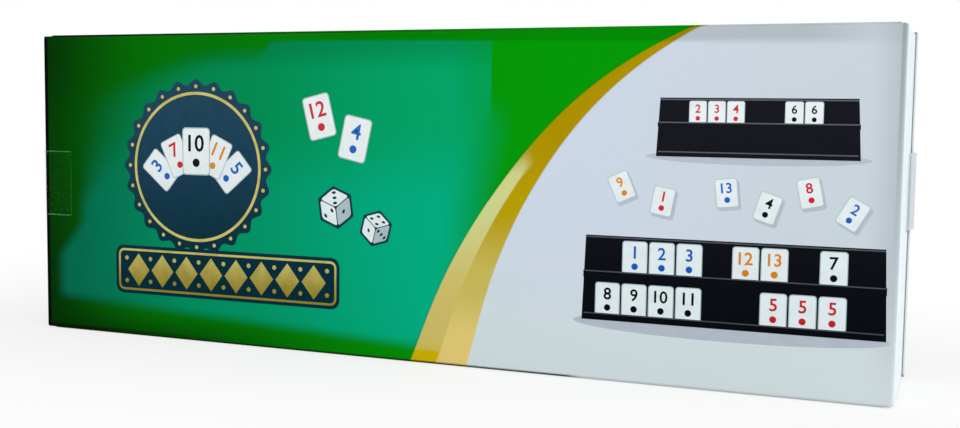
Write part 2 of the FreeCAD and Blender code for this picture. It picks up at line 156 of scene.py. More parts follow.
class Shape:
    """The corners and faces of one piece, gathered from closed shells. Each face keeps a material number."""

    def __init__(self):
        self.points = []
        self.blocks = []
        self.marks = []
        self.count = 0

    def add(self, points, blocks, marks=0):
        """Adds a closed shell, right side out. blocks are arrays of faces with as many corners each. The sum
        over each face's sides, its first corner dotted with the cross product of the side's two ends, is six
        times the volume inside; where it is below zero the faces are turned round."""
        points = np.asarray(points, float)
        products = (points[b[:, :1]] * np.cross(points[b], points[np.roll(b, -1, 1)]) for b in blocks)
        volume = sum(product.sum() for product in products)
        marks = marks if isinstance(marks, list) else [marks] * len(blocks)
        for block, mark in zip(blocks, marks):
            self.blocks.append((block if volume > 0 else block[:, ::-1]) + self.count)
            self.marks.append(np.broadcast_to(mark, len(block)))
        self.points.append(points)
        self.count += len(points)

    def build(self, name, materials, sharp=40.0):
        """The mesh object, in metres, smooth except at edges sharper than an angle in degrees."""
        mesh = bpy.data.meshes.new(name)
        faces = [face for block in self.blocks for face in block.tolist()]
        mesh.from_pydata((np.concatenate(self.points) * MM).tolist(), [], faces)
        for material in materials:
            mesh.materials.append(material)
        mesh.polygons.foreach_set("material_index", np.concatenate(self.marks).astype(np.int32))
        mesh.polygons.foreach_set("use_smooth", np.ones(len(faces), bool))
        mesh.update()
        mesh.set_sharp_from_angle(angle=math.radians(sharp))
        return place_new(name, mesh)


def slab(top, bottom):
    """The corners, faces and face marks of a closed sheet between two grids of m by n points. The marks are 0
    on the top grid, 1 on the bottom one and 2 round the edge."""
    m, n = top.shape[:2]
    t = np.arange(m * n).reshape(m, n)
    b = t + m * n
    upper = np.stack([t[:-1, :-1], t[1:, :-1], t[1:, 1:], t[:-1, 1:]], -1).reshape(-1, 4)
    lower = np.stack([b[:-1, :-1], b[:-1, 1:], b[1:, 1:], b[1:, :-1]], -1).reshape(-1, 4)
    ring = np.concatenate([t[0, :-1], t[:-1, -1], t[-1, :0:-1], t[:0:-1, 0]])
    after = np.roll(ring, -1)
    rim = np.stack([ring, after, after + m * n, ring + m * n], -1)
    points = np.concatenate([top.reshape(-1, 3), bottom.reshape(-1, 3)])
    return points, [upper, lower, rim], [0, 1, 2]


def loft(rings):
    """The corners and faces of a closed form through k rings of n points, capped at both ends."""
    k, n = rings.shape[:2]
    index = np.arange(k * n).reshape(k, n)
    after = np.roll(index, -1, 1)
    bands = np.stack([index[:-1], after[:-1], after[1:], index[1:]], -1).reshape(-1, 4)
    return rings.reshape(-1, 3), [bands, index[:1, ::-1], index[-1:]]


# ---------------------------------------------------------------- fluted board

def cot(angle):
    return 1 / math.tan(angle)


class Line:
    """One direction across a board, as stations. A point at depth d lies at base + d * slope along it and at
    sink + d * fall below the outer face."""

    def __init__(self, base, slope=0.0, sink=0.0, fall=1.0):
        rows = np.broadcast_arrays(base, slope, sink, fall)
        self.base, self.slope, self.sink, self.fall = (row.astype(float) for row in rows)


def straight(length, count, start=None, end=None):
    """Even stations from 0 to length. start and end are None where the board is cut, or half the angle of a
    live crease, where it stops CREASE_LAND before the corner and is cut along the mitre."""
    low = CREASE_LAND if start else 0.0
    high = length - (CREASE_LAND if end else 0.0)
    line = Line(np.linspace(low, high, count))
    if start:
        line.slope[0] = cot(start)
    if end:
        line.slope[-1] = -cot(end)
    return line


def folded(length, start=True, end=True):
    """Stations across a board that is folded by a right angle at its start, its end or both, up to the mitre.
    In a fold the outer face follows a quarter circle of FOLD_RADIUS and each depth a concentric one."""
    low, high = FOLD_RADIUS * start, length - FOLD_RADIUS * end
    run = np.linspace(low, high, max(2, int(round((high - low) / PANEL_SPACING)) + 1))
    turns = np.linspace(SQUARE, 0, FOLD_STEPS)[:-1]
    side, down = np.sin(turns), np.cos(turns)
    first = np.stack([FOLD_RADIUS * (1 - side), side, FOLD_RADIUS * (1 - down), down])
    flat = np.stack([run, 0 * run, 0 * run, 0 * run + 1])
    last = np.array(((length, 0, 0, 0),)).T + first[:, ::-1] * np.array(((-1, -1, 1, 1),)).T
    return Line(*np.concatenate([first] * start + [flat] + [last] * end, axis=1))


def board(origin, along, across, outward, u, v, shape=None):
    """Three closed sheets, the outer liner, the fluted medium and the inner liner, as a Shape with material
    numbers 0 outer face, 1 inner face, 2 cut edge and 3 medium.

    u are the stations along the flutes and v those across them. A point at depth d is
    origin + along (u + d u') + across (v + d v') - outward (sink + d fall). The medium's depth is the board's
    middle plus a cosine of the distance across the flutes. shape may move the stations: it gets the grids of
    u and v and gives new ones."""
    def place(depth, u, v):
        base_u, base_v = np.meshgrid(u.base, v.base, indexing="ij")
        if shape:
            base_u, base_v = shape(base_u, base_v)
        at_u = base_u + depth * u.slope[:, None]
        at_v = base_v + depth * v.slope[None, :]
        down = np.broadcast_to(v.sink[None, :] + depth * v.fall[None, :], at_u.shape)
        return origin + at_u[..., None] * along + at_v[..., None] * across - down[..., None] * outward

    made = Shape()
    for outer, marks in ((SKIN, [0, 2, 2]), (BOARD - LINER, [2, 1, 2])):
        points, blocks, _ = slab(place(outer, u, v), place(outer + LINER, u, v))
        made.add(points, blocks, marks)
    fine = finer(v)
    middle = (SKIN + LINER + BOARD - LINER) / 2
    swing = (BOARD - LINER - SKIN - LINER - MEDIUM) / 2 + MEDIUM_BITE
    travelled = np.concatenate([[0], np.cumsum(np.hypot(*np.diff([fine.base, fine.sink], axis=1)))])
    wave = middle + swing * np.cos(2 * math.pi * travelled / FLUTE_PITCH)[None, :]
    points, blocks, _ = slab(place(wave - MEDIUM / 2, u, fine), place(wave + MEDIUM / 2, u, fine))
    made.add(points, blocks, 3)
    return made


def finer(line):
    """The same line with enough stations for the medium's wave."""
    steps = np.maximum(1, np.ceil(np.abs(np.diff(line.base)) * FLUTE_POINTS / FLUTE_PITCH)).astype(int)
    place = np.concatenate([np.arange(k) / k + i for i, k in enumerate(steps)] + [[len(line.base) - 1]])
    index = np.arange(len(line.base))
    return Line(*(np.interp(place, index, row) for row in (line.base, line.slope, line.sink, line.fall)))


def crease(name, corner, along_a, normal_a, along_b, normal_b, across, length, materials,
           flare=0.0):
    """The bent strip of board across a live crease. Its outer and inner faces turn round circles of
    CREASE_RADIUS that touch both plates, and its ends lie along the mitre.
    corner is where the outer faces would meet, along_a and along_b lead from it into the plates. flare is how
    much further the strip reaches at each end on the first plate than on the second."""
    angle = math.acos(float(np.dot(along_a, along_b)))
    middle = (along_a + along_b) / np.linalg.norm(along_a + along_b)
    turn = math.pi - angle

    def path(depth):
        apex = corner + (along_a + along_b) * (depth / math.sin(angle))
        centre = apex + middle * (CREASE_RADIUS / math.sin(angle / 2))
        share = np.linspace(0, 1, CREASE_STEPS)[:, None]
        spokes = (np.sin((1 - share) * turn) * normal_a + np.sin(share * turn) * normal_b) / math.sin(turn)
        arc = centre + CREASE_RADIUS * spokes
        return np.concatenate([[apex + along_a * CREASE_LAND], arc, [apex + along_b * CREASE_LAND]])

    outer, inner = path(SKIN)[:, None], path(BOARD)[:, None]
    share = np.linspace(1, 0, len(outer))[:, None] * flare
    reach = (np.linspace(0, length, 2) + share * (-1, 1))[..., None] * across
    made = Shape()
    made.add(*slab(outer + reach, inner + reach))
    piece = made.build(name, materials)
    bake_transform(piece)


# ---------------------------------------------------------------- shader helpers

MIX_SHARE, MIX_FIRST, MIX_SECOND, MIX_COLOUR = 0, 6, 7, 2


class Value:
    """A number on its way through a shader. Arithmetic on it adds Math nodes to its own tree."""

    def __init__(self, socket):
        self.socket = socket
        self.tree = socket.id_data

    def math(self, operation, *others, swapped=False, clamp=False):
        terms = (self, *others)[::-1 if swapped else 1]
        settings = {"operation": operation, "use_clamp": clamp}
        return Value(put(self.tree, "ShaderNodeMath", dict(enumerate(terms)), **settings).outputs[0])

    __add__ = partialmethod(math, "ADD")
    __sub__ = partialmethod(math, "SUBTRACT")
    __rsub__ = partialmethod(math, "SUBTRACT", swapped=True)
    __mul__ = partialmethod(math, "MULTIPLY")
    __truediv__ = partialmethod(math, "DIVIDE")
    __abs__ = partialmethod(math, "ABSOLUTE")


class Place:
    """A point in millimetres, as a vector socket and as its three parts."""

    def __init__(self, socket):
        self.socket = socket
        parts = put(socket.id_data, "ShaderNodeSeparateXYZ", {0: socket}).outputs
        self.x, self.y, self.z = (Value(part) for part in parts)


def feed(socket, value):
    """Links what carries a socket to an input, or sets a plain number or colour on it."""
    value = value.socket if isinstance(value, (Value, Place)) else value
    if isinstance(value, bpy.types.NodeSocket):
        socket.id_data.links.new(value, socket)
    else:
        socket.default_value = (*value, 1.0) if socket.type == "RGBA" else value


def put(tree, kind, inputs=None, **settings):
    """A node with its settings and what goes into its inputs."""
    node = tree.nodes.new(kind)
    for key, value in settings.items():
        setattr(node, key, value)
    for key, value in (inputs or {}).items():
        feed(node.inputs[key], value)
    return node


def most(value, *others):
    for other in others:
        value = value.math("MAXIMUM", other)
    return value


def ease(value, low, high, out_low=0.0, out_high=1.0):
    """A smooth step from out_low at low to out_high at high."""
    inputs = {"Value": value, "From Min": low, "From Max": high, "To Min": out_low, "To Max": out_high}
    return Value(put(value.tree, "ShaderNodeMapRange", inputs, interpolation_type="SMOOTHSTEP").outputs[0])


def stripe(value, low, high, soft):
    """1 from low to high, easing to 0 over soft at both sides."""
    return ease(value, low - soft, low) * ease(value, high + soft, high)


def wave(value, pitch):
    return (value * (2 * math.pi / pitch)).math("SINE")


def noise(place, scale, detail, roughness=0.5):
    inputs = {"Vector": place, "Scale": scale, "Detail": detail, "Roughness": roughness}
    return Value(put(place.socket.id_data, "ShaderNodeTexNoise", inputs).outputs[0])


def layers(colour, *coats):
    """A colour with others laid over it in turn, each as (share, colour)."""
    for share, over in coats:
        inputs = {MIX_SHARE: share, MIX_FIRST: colour, MIX_SECOND: over}
        colour = put(share.tree, "ShaderNodeMix", inputs, data_type="RGBA").outputs[MIX_COLOUR]
    return colour


def linear(red, green, blue):
    """A display colour of 0 to 255 as the linear values of a shader, by the sRGB curve."""
    values = np.array((red, green, blue)) / 255
    bright = ((values + 0.055) / 1.055) ** 2.4
    return tuple(float(c) for c in np.where(values <= 0.04045, values / 12.92, bright))


def darker(colour, share):
    return tuple(share * c for c in colour)


def group(fill, outputs, **inputs):
    """A node group. inputs are name to default, with None for a place, and outputs name to socket type. fill
    gets what comes in and gives what goes out, in turn."""
    tree = bpy.data.node_groups.new(fill.__name__, "ShaderNodeTree")
    kinds = {float: "NodeSocketFloat", tuple: "NodeSocketColor", type(None): "NodeSocketVector"}
    for key, value in inputs.items():
        socket = tree.interface.new_socket(key, in_out="INPUT", socket_type=kinds[type(value)])
        if value is not None:
            socket.default_value = (*value, 1.0) if isinstance(value, tuple) else value
    for key, kind in outputs.items():
        tree.interface.new_socket(key, in_out="OUTPUT", socket_type=kind)
    wraps = {"VALUE": Value, "VECTOR": Place}
    given = tree.nodes.new("NodeGroupInput").outputs
    made = fill(*(wraps.get(given[key].type, lambda socket: socket)(given[key]) for key in inputs))
    for socket, value in zip(tree.nodes.new("NodeGroupOutput").inputs, made):
        feed(socket, value)
    return tree


def use(node_group, **inputs):
    """A group's outputs, in the tree of its first input."""
    tree = next(iter(inputs.values())).socket.id_data
    return put(tree, "ShaderNodeGroup", inputs, node_tree=node_group).outputs


def wire(node, **values):
    """Feeds a node's inputs by their names, with _ for a space."""
    for key, value in values.items():
        feed(node.inputs[key.replace("_", " ")], value)


def new_material(name, **values):
    """A material, its Principled shader with plain values on its own sockets, and the place on the object."""
    material = bpy.data.materials.new(name)
    material.use_nodes = True
    tree = material.node_tree
    shader = tree.nodes["Principled BSDF"]
    wire(shader, **values)
    metres = put(tree, "ShaderNodeTexCoord").outputs["Object"]
    scaled = put(tree, "ShaderNodeVectorMath", {0: metres, 1: (1 / MM,) * 3}, operation="MULTIPLY")
    return material, shader, Place(scaled.outputs[0])


def emboss(shader, height, strength, distance):
    """Bumps a surface by a height, over a distance in millimetres."""
    inputs = {"Height": height, "Strength": strength, "Distance": distance * MM}
    wire(shader, Normal=put(shader.id_data, "ShaderNodeBump", inputs).outputs[0])


# ---------------------------------------------------------------- the printed fields

GREEN_DARK = linear(2, 46, 2)
GREEN_LEFT = linear(2, 112, 4)
GREEN_RIGHT = linear(3, 153, 5)
# The teal of a painted reflection laid over the green field
TEAL_LEFT = linear(2, 106, 76)
TEAL_MIDDLE = linear(2, 146, 100)
TEAL_RIGHT = linear(1, 173, 130)
# Painted shade of the head band near the top fold
HEAD_SHADE_GREEN = (0.0, 0.02, 0.0)
# A dark line at the cut edge, and painted shade along the long folds
EDGE_LINE_AND_FOLD_SHADE = linear(2, 12, 3)
GOLD_DEEP = linear(172, 144, 1)
GOLD_RICH = linear(184, 158, 2)
GOLD_LOW = linear(201, 185, 92)
GOLD_STRIP = linear(226, 202, 120)
GOLD_PALE = linear(207, 212, 140)
GOLD_SAND = linear(206, 188, 104)
GOLD_BRIGHT = linear(203, 177, 1)
WHITE_LEFT = linear(206, 216, 231)
WHITE_RIGHT = linear(201, 212, 219)
WHITE_FOOT = linear(208, 220, 221)
WHITE_SHADE = linear(164, 174, 182)
WHITE_END = linear(222, 231, 234)
WHITE_END_FOOT = linear(230, 240, 243)
# Painted shade of the score beside the right end
SCORE_SHADE_GREY = linear(118, 128, 134)
# Painted shade of the gap by the end flap's corner
GAP_SHADE_GREY = linear(146, 150, 158)

# Where the print, and the light painted into it, change. A set's first two numbers are the places, along the
# carton or up its unfolded front, from which and to which it eases, and the next two what it has there, where
# that isn't 0 and 1. A stripe's set is its two sides and how soft they are.
GREEN_DARK_ALONG = (-198.0, -118.0)
GREEN_ALONG = (-130.0, 70.0)
GREEN_LIFT_UP, GREEN_LIFT = (60.0, 92.0, 36.0), 0.09
# Painted shade: the green darkens towards the bottom fold on the left
FOOT_UP, FOOT_ALONG, FOOT_SHADE = (13.0, 1.0), (0.0, -150.0), 0.6
TEAL_LEFT_ALONG = (-185.0, -90.0)
TEAL_RIGHT_ALONG = (-100.0, 20.0)
TEAL_HEAD_UP = (118.0, 131.0, 0.0, 0.5)

# The glow is a painted reflection, laid over the green as teal. Its left side starts at GLOW_LEFT. Above the
# foot it steps in, and near the head it bows in and is softer.
GLOW_LEFT = -186.0
GLOW_STEP_UP = (32.0, 54.0, 0.0, 13.0)
GLOW_BOW_LEVEL, GLOW_BOW = 98.0, 0.045
GLOW_SOFT_LEVEL, GLOW_SOFT_RISE, GLOW_SOFT = 58.0, 0.8, 9.0
# Its right side is a long tail below and a level shelf with a sharp end above.
TAIL_START_UP, TAIL_ALONG = (56.0, 100.0, 9.0, 16.8), (28.5, 0.0)
SHELF_ALONG, SHELF_END, SHELF_UP = (14.0, 30.0, 1.0, 0.64), (34.2, 33.3), (96.0, 112.0)
# Its foot and head slope, and the head comes down in two shoulders towards the left.
GLOW_FOOT_UP, GLOW_FOOT_SLOPE = (4.2, 11.0), 0.047
RIDGE_START, RIDGE_SLOPE, GLOW_HEAD = -34.0, 0.0135, 132.4
FAR_SHOULDER_ALONG, NEAR_SHOULDER_ALONG = (-150.0, -100.0, -17.0, -6.0), (-74.0, -66.0, 0.0, 6.0)
GLOW_HEAD_SOFT_ALONG = (-80.0, -64.0, 6.0, 0.9)
GLOW_FADE_UP = (98.0, 62.0, 0.62, 1.0)

# The band's two edges along the front: the terms of a polynomial in u, the height over 100 mm. Beyond the
# folds they go straight on by two slopes. ACROSS_UP makes a distance along the carton one across the band.
GREEN_EDGE = (-0.92, 43.86, -45.43, 156.13, -149.88, 55.47)
WHITE_EDGE = (24.3, 29.9, -33.79, 112.26, -98.69, 36.2)
EDGE_UNIT = 0.01
SLOPE_BELOW, SLOPE_ABOVE = 0.4, 2.1
ACROSS_UP = (30.0, 137.0, 0.88, 0.42)
GOLD_RICH_UP, GOLD_LOW_UP, GOLD_STRIP_UP = (98.0, 66.0), (66.0, 34.0), (34.0, 9.0)
GOLD_SAND_UP = (70.0, 24.0)
GOLD_FOOT_UP, GOLD_FOOT_END = (10.0, 7.0, 0.0, 0.3), (6.2, 5.4)
# The band's pale part: its width as a share of the band, how soft its edge is and where it fades out
SHEEN_WIDTH_UP, SHEEN_SOFT_UP = (94.0, 82.0, -0.2, 0.46), (76.0, 86.0, 0.02, 0.2)
SHEEN_FADE_UP = (92.0, 77.0)
BAND_EDGE = (-0.25, 0.25)
BAND_RIM, BAND_RIM_SHADE = (-1.1, -0.3), 0.15
LEAST_WIDTH = 0.01
WHITE_ALONG, WHITE_FOOT_UP = (60.0, 185.0), (62.0, 8.0, 0.0, 0.85)
# Painted shade: the pale field darkens towards the right end fold
WHITE_EDGE_ALONG, WHITE_EDGE_UP, WHITE_EDGE_SHADE = (176.0, 190.0), (-10.0, 55.0), 0.55


def past(along, up, terms):
    """How far a place is to the right of a curved edge, measured across it: x less the polynomial of the
    height, which goes straight on over the top and bottom folds."""
    u = most(up, 0.0).math("MINIMUM", HEIGHT) * EDGE_UNIT
    edge = terms[-1]
    for term in terms[-2::-1]:
        edge = u.math("MULTIPLY_ADD", edge, term)
    below = up.math("MINIMUM", 0.0) * SLOPE_BELOW
    above = most(up - HEIGHT, 0.0) * SLOPE_ABOVE
    return (along - (edge + (below + above))) * ease(up, *ACROSS_UP)


def ridge(along, up):
    """The height of a place over a line that falls to the right, as the glow's head and the head band do."""
    return up + most(along, RIDGE_START) * RIDGE_SLOPE


def printed_field(along, up):
    """Colour of the print by its place along the carton and up its unfolded front, with painted light in it:
    a green field, darker towards the bottom fold as painted shade, with a teal glow that is a painted
    reflection, a gold band between two curved edges, and a pale field with painted shade near the right end
    fold."""
    green = layers(
        GREEN_DARK,
        (ease(along, *GREEN_DARK_ALONG) + stripe(up, *GREEN_LIFT_UP) * GREEN_LIFT, GREEN_LEFT),
        (ease(along, *GREEN_ALONG), GREEN_RIGHT),
        (ease(up, *FOOT_UP) * ease(along, *FOOT_ALONG) * FOOT_SHADE, GREEN_DARK),
    )
    # Painted reflection: the teal of the glow, laid over the green below
    reflection_teal = layers(
        TEAL_LEFT,
        (ease(along, *TEAL_LEFT_ALONG), TEAL_MIDDLE),
        (ease(along, *TEAL_RIGHT_ALONG), TEAL_RIGHT),
        (ease(up, *TEAL_HEAD_UP), TEAL_LEFT),
    )
    rise = most(up - GLOW_BOW_LEVEL, 0.0)
    start = ease(up, *GLOW_STEP_UP) + rise * rise * GLOW_BOW
    width = most(up - GLOW_SOFT_LEVEL, 0.0) * GLOW_SOFT_RISE + GLOW_SOFT
    left = ease((along - GLOW_LEFT - start) / width, 0.0, 1.0)
    tail = ease(along - ease(up, *TAIL_START_UP), *TAIL_ALONG)
    shelf = ease(along, *SHELF_ALONG) * ease(along, *SHELF_END)
    right = tail + (shelf - tail) * ease(up, *SHELF_UP)
    low = ease(up + along * GLOW_FOOT_SLOPE, *GLOW_FOOT_UP)
    shoulder = ease(along, *FAR_SHOULDER_ALONG) + ease(along, *NEAR_SHOULDER_ALONG)
    high = ease((ridge(along, up) - GLOW_HEAD - shoulder) / ease(along, *GLOW_HEAD_SOFT_ALONG), 1.0, -1.0)
    glow = left * right * (low * high) * ease(up, *GLOW_FADE_UP)

    past_green = past(along, up, GREEN_EDGE)
    before_white = past(along, up, WHITE_EDGE) * -1.0
    share = past_green / most(past_green + before_white, LEAST_WIDTH)
    sheen = ease((ease(up, *SHEEN_WIDTH_UP) - share) / ease(up, *SHEEN_SOFT_UP), -1.0, 1.0)
    pale_gold = layers(
        GOLD_PALE,
        (ease(up, *GOLD_SAND_UP), GOLD_SAND),
        (most(ease(up, *GOLD_FOOT_UP), ease(up, *GOLD_FOOT_END)), GOLD_BRIGHT),
    )
    gold = layers(
        GOLD_DEEP,
        (ease(up, *GOLD_RICH_UP), GOLD_RICH),
        (ease(up, *GOLD_LOW_UP), GOLD_LOW),
        (ease(up, *GOLD_STRIP_UP), GOLD_STRIP),
        (sheen * ease(up, *SHEEN_FADE_UP), pale_gold),
    )
    pale = layers(
        WHITE_LEFT,
        (ease(along, *WHITE_ALONG), WHITE_RIGHT),
        (ease(up, *WHITE_FOOT_UP), WHITE_FOOT),
        (ease(along, *WHITE_EDGE_ALONG) * ease(up, *WHITE_EDGE_UP) * WHITE_EDGE_SHADE, WHITE_SHADE),
    )
    return layers(
        green,
        (glow, reflection_teal),
        (ease(past_green, *BAND_RIM) * BAND_RIM_SHADE, GREEN_DARK),
        (ease(past_green, *BAND_EDGE), gold),
        (ease(before_white, *BAND_EDGE[::-1]), pale),
    ),


WEAR_BREAKS = (0.5, 0.7)
FIBRE_STRETCH, FIBRE_SHARE, CLOUD_SHARE = (0.5, 2.4, 2.4), (0.42, 0.7), 0.4


def rubbed_folds(at, reach, amount):
    """Rubbed folds: a mask that rises near the carton's long folds, broken up by noise."""
    from_long = most(MIDDLE - abs(at.z - MIDDLE), BACK_Y - abs(at.y))
    broken = ease(noise(at, scale=1.3, detail=5.0, roughness=0.7), *WEAR_BREAKS)
    return ease(from_long / reach, 1.0, 0.0) * broken * amount,


def laminate_relief(at, ripple, waves, grain):
    """Height of glossy film over fluted board: a faint ripple over the flutes, slow waves and fine grain."""
    flutes = wave(at.z, FLUTE_PITCH) * ripple
    slow, fine = noise(at, scale=0.012, detail=1.0), noise(at, scale=1.4, detail=3.0)
    return flutes + slow * waves + fine * grain,


def paper_fibre(at, base, dark, strength):
    """Paper and board colour: a base broken by short fibres and specks, with their height."""
    stretched = put(strength.tree, "ShaderNodeMapping", {"Vector": at, "Scale": FIBRE_STRETCH}).outputs[0]
    fibre = noise(Place(stretched), scale=1.6, detail=6.0, roughness=0.65)
    cloud = noise(at, scale=0.06, detail=2.0)
    share = (ease(fibre, *FIBRE_SHARE) + cloud * CLOUD_SHARE).math("MULTIPLY", strength, clamp=True)
    return layers(base, (share, dark)), fibre


COLOUR, NUMBER = "NodeSocketColor", "NodeSocketFloat"
FIELD = group(printed_field, {"Color": COLOUR}, Along=0.0, Up=0.0)
WEAR = group(rubbed_folds, {"Mask": NUMBER}, Place=None, Reach=1.1, Amount=0.08)
RELIEF = group(laminate_relief, {"Height": NUMBER}, Place=None, Ripple=0.12, Waves=14.0, Grain=0.05)
FIBRE = group(
    paper_fibre, {"Color": COLOUR, "Height": NUMBER}, Place=None, Base=(0.5, 0.4, 0.3), Dark=(0.3, 0.2, 0.1),
    Strength=0.5
)

BARE_BOARD = linear(232, 230, 222)
GLOSS = {"Roughness": 0.35, "Specular_IOR_Level": 0.004, "Coat_Weight": 0.02, "Coat_Roughness": 0.1}
RUBBED_GLOSS = (0.0, 1.0, 0.32, 0.6)


def laminate(name, colour_of):
    """Glossy film over print. colour_of gives the print's colour from the place."""
    material, shader, at = new_material(name, **GLOSS)
    mask = Value(use(WEAR, Place=at)["Mask"])
    wire(shader, Base_Color=layers(colour_of(at), (mask, BARE_BOARD)), Roughness=ease(mask, *RUBBED_GLOSS))
    emboss(shader, use(RELIEF, Place=at)["Height"], strength=0.35, distance=0.1)
    return material


# The head band, a painted shade near the top fold, by its height over the ridge, how soft that is, and where
# it ends above and along
HEAD_LEVEL, HEAD_SOFT_ALONG, HEAD_END_UP = 132.6, (90.0, 150.0, 0.7, 2.0), (138.5, 136.5)
HEAD_LEFT_ALONG, HEAD_RIGHT_ALONG = (-70.0, -25.0, 0.0, 0.25), (150.0, 188.0, 1.0, 0.3)
# The score beside the right end, painted as a grey line of shade: a stripe along, and how strong it is up
SCORE_ALONG, SCORE_UP = (187.6, 188.4, 0.7), (40.0, 130.0, 0.0, 0.45)
# The dark lines: a dark line at the cut edge, and painted shade along the head fold, the foot fold and the
# foot fold's lower left corner. Each of these three is a stripe up and how strong it is along.
CUT_LINE = (-187.8, -188.4)
FOLD_SHADE_LINES = (
    ((136.6, 138.0, 0.8), (112.0, -190.0, 0.1, 1.0)),
    ((-1.6, 0.3, 1.2), (74.0, 66.0, 0.1, 0.9)),
    ((-1.6, 1.4, 1.8), (-60.0, -180.0, 0.0, 0.8)),
)


def front_colour(at):
    """The printed field, unfolded over the top and bottom, with a head band of painted shade near the top
    fold, a score beside the right end painted as a line of shade, a dark line along the cut edge and painted
    shade along the long folds."""
    along = at.x
    up = at.z + (at.y - FRONT_Y) * (at.z - MIDDLE).math("SIGN")
    head = ease((ridge(along, up) - HEAD_LEVEL) / ease(along, *HEAD_SOFT_ALONG), -1.0, 1.0)
    head = head * ease(up, *HEAD_END_UP) * ease(along, *HEAD_LEFT_ALONG) * ease(along, *HEAD_RIGHT_ALONG)
    fold_shades = (stripe(up, *level) * ease(along, *reach) for level, reach in FOLD_SHADE_LINES)
    return layers(
        use(FIELD, Along=along, Up=up)["Color"],
        (head, HEAD_SHADE_GREEN),
        (stripe(along, *SCORE_ALONG) * ease(up, *SCORE_UP), SCORE_SHADE_GREY),
        (most(ease(along, *CUT_LINE), *fold_shades), EDGE_LINE_AND_FOLD_SHADE),
    )


def back_colour(at):
    """The same field, turned so that it reads the same way from behind."""
    return use(FIELD, Along=at.x * -1.0, Up=at.z)["Color"]


def end_colour(foot, head):
    """One colour at the foot that passes to another at the head."""
    return lambda at: layers(foot, (ease(at.z, 0.0, HEIGHT), head))


def fibrous(name, base, dark, strength, roughness, depth, marked=None):
    """Uncoated paper or board. marked may draw more over its colour, from the colour and the place."""
    material, shader, at = new_material(name, Roughness=roughness, Specular_IOR_Level=0.2)
    made = use(FIBRE, Place=at, Base=linear(*base), Dark=linear(*dark), Strength=strength)
    wire(shader, Base_Color=marked(made["Color"], at) if marked else made["Color"])
    emboss(shader, made["Height"], strength=0.5, distance=depth)
    return material


FRONT_PRINT = laminate("front_print", front_colour)
BACK_PRINT = laminate("back_print", back_colour)
RIGHT_PRINT = laminate("right_end_print", end_colour(WHITE_END_FOOT, WHITE_END))
LEFT_PRINT = laminate("left_end_print", end_colour(GREEN_DARK, GREEN_LEFT))
CUT_EDGE = fibrous("cut_edge", (222, 214, 198), (160, 142, 112), strength=0.6, roughness=0.9, depth=0.08)
KRAFT = fibrous("kraft_medium", (186, 150, 106), (128, 94, 56), strength=0.7, roughness=0.9, depth=0.06)

# Painted shade: where the dark line of the gap by the end flap's corner runs, and where the pale strip starts
GAP_SHADE_START, GAP_SHADE_END, BARE_START = (188.6, 189.0), (189.62, 189.42), (189.3, 189.5)


def rub_line(colour, at):
    """Painted shade: a dark line where the end flap's corner meets the board in a shaded gap, and a pale
    strip from there to the cut edge.
    """
    reach = abs(at.x)
    line = ease(reach, *GAP_SHADE_START) * ease(reach, *GAP_SHADE_END)
    return layers(colour, (ease(reach, *BARE_START), WHITE_END_FOOT), (line, GAP_SHADE_GREY))


# The plain lining, and a lining with painted shade near the end flaps' corners
LINING, GAP_SHADED_LINING = (
    fibrous(name, (214, 212, 208), (168, 162, 152), strength=0.45, roughness=0.85, depth=0.05, marked=marked)
    for name, marked in (("grey_lining", None), ("gap_shaded_lining", rub_line))
)


def board_materials(face, lining=LINING):
    return [face, lining, CUT_EDGE, KRAFT]


# ---------------------------------------------------------------- the sleeve

def finish_board(made, node, face, body="root", lining=LINING):
    piece = made.build(node + "_sheet", board_materials(face, lining))
    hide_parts(node)
    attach(piece, body)


def make_sleeve():
    """The four panels and the glue flap, each with flutes along X."""
    wide = straight(CUT_X + END_X, PANEL_STATIONS, end=SQUARE)
    narrow = straight(2 * DUST_X, PANEL_STATIONS, SQUARE, SQUARE)
    front, back = (FRONT_PRINT, GAP_SHADED_LINING), (BACK_PRINT, GAP_SHADED_LINING)
    plain = (FRONT_PRINT, LINING)
    for node, corner, along, across, outward, u, v, (face, lining) in (
        ("front_panel", (-CUT_X, FRONT_Y, 0), X, Z, -Y, wide, folded(HEIGHT), front),
        ("back_panel", (CUT_X, BACK_Y, 0), -X, Z, Y, wide, folded(HEIGHT, end=False), back),
        ("top_panel", (-DUST_X, FRONT_Y, HEIGHT), X, Y, Z, narrow, folded(TOP_DEPTH), plain),
        ("bottom_panel", (-DUST_X, FRONT_Y, 0), X, Y, -Z, narrow, folded(BACK_Y - FRONT_Y), plain),
    ):
        finish_board(board(np.array(corner), along, across, outward, u, v), node, face, lining=lining)

    half = (GLUE_HIGH[0] - GLUE_LOW[0]) / 2

    def tapered(u, v):
        """The ends run in as the flap drops: x is multiplied by 1 less a share of the drop."""
        return u * (1 - v * math.tan(GLUE_TAPER) / half), v

    glue = board(
        np.array((0, BACK_Y - BOARD, HEIGHT)), X, -Z, Y, Line(np.linspace(-half, half, GLUE_STATIONS)),
        folded(HEIGHT - GLUE_LOW[2], end=False), tapered
    )
    finish_board(glue, "glue_flap", LINING)


make_sleeve()


# ---------------------------------------------------------------- the closures

def corner_inset(distance, radius):
    """How far a rounded corner's side lies in, at a distance from the free edge: radius less the circle's
    half chord."""
    reach = np.clip(radius - distance, 0, radius)
    return radius - np.sqrt(radius ** 2 - reach ** 2)


def rounded_end(length, radius, count, start):
    """Stations from a live crease to a free edge, closer together over the rounded corner."""
    lead = np.linspace(CREASE_LAND, length - radius, CORNER_LEAD)
    turns = np.linspace(0, math.pi / 2, count)[1:]
    line = Line(np.concatenate([lead, length - radius + radius * np.sin(turns)]))
    line.slope[0] = cot(start)
    return line


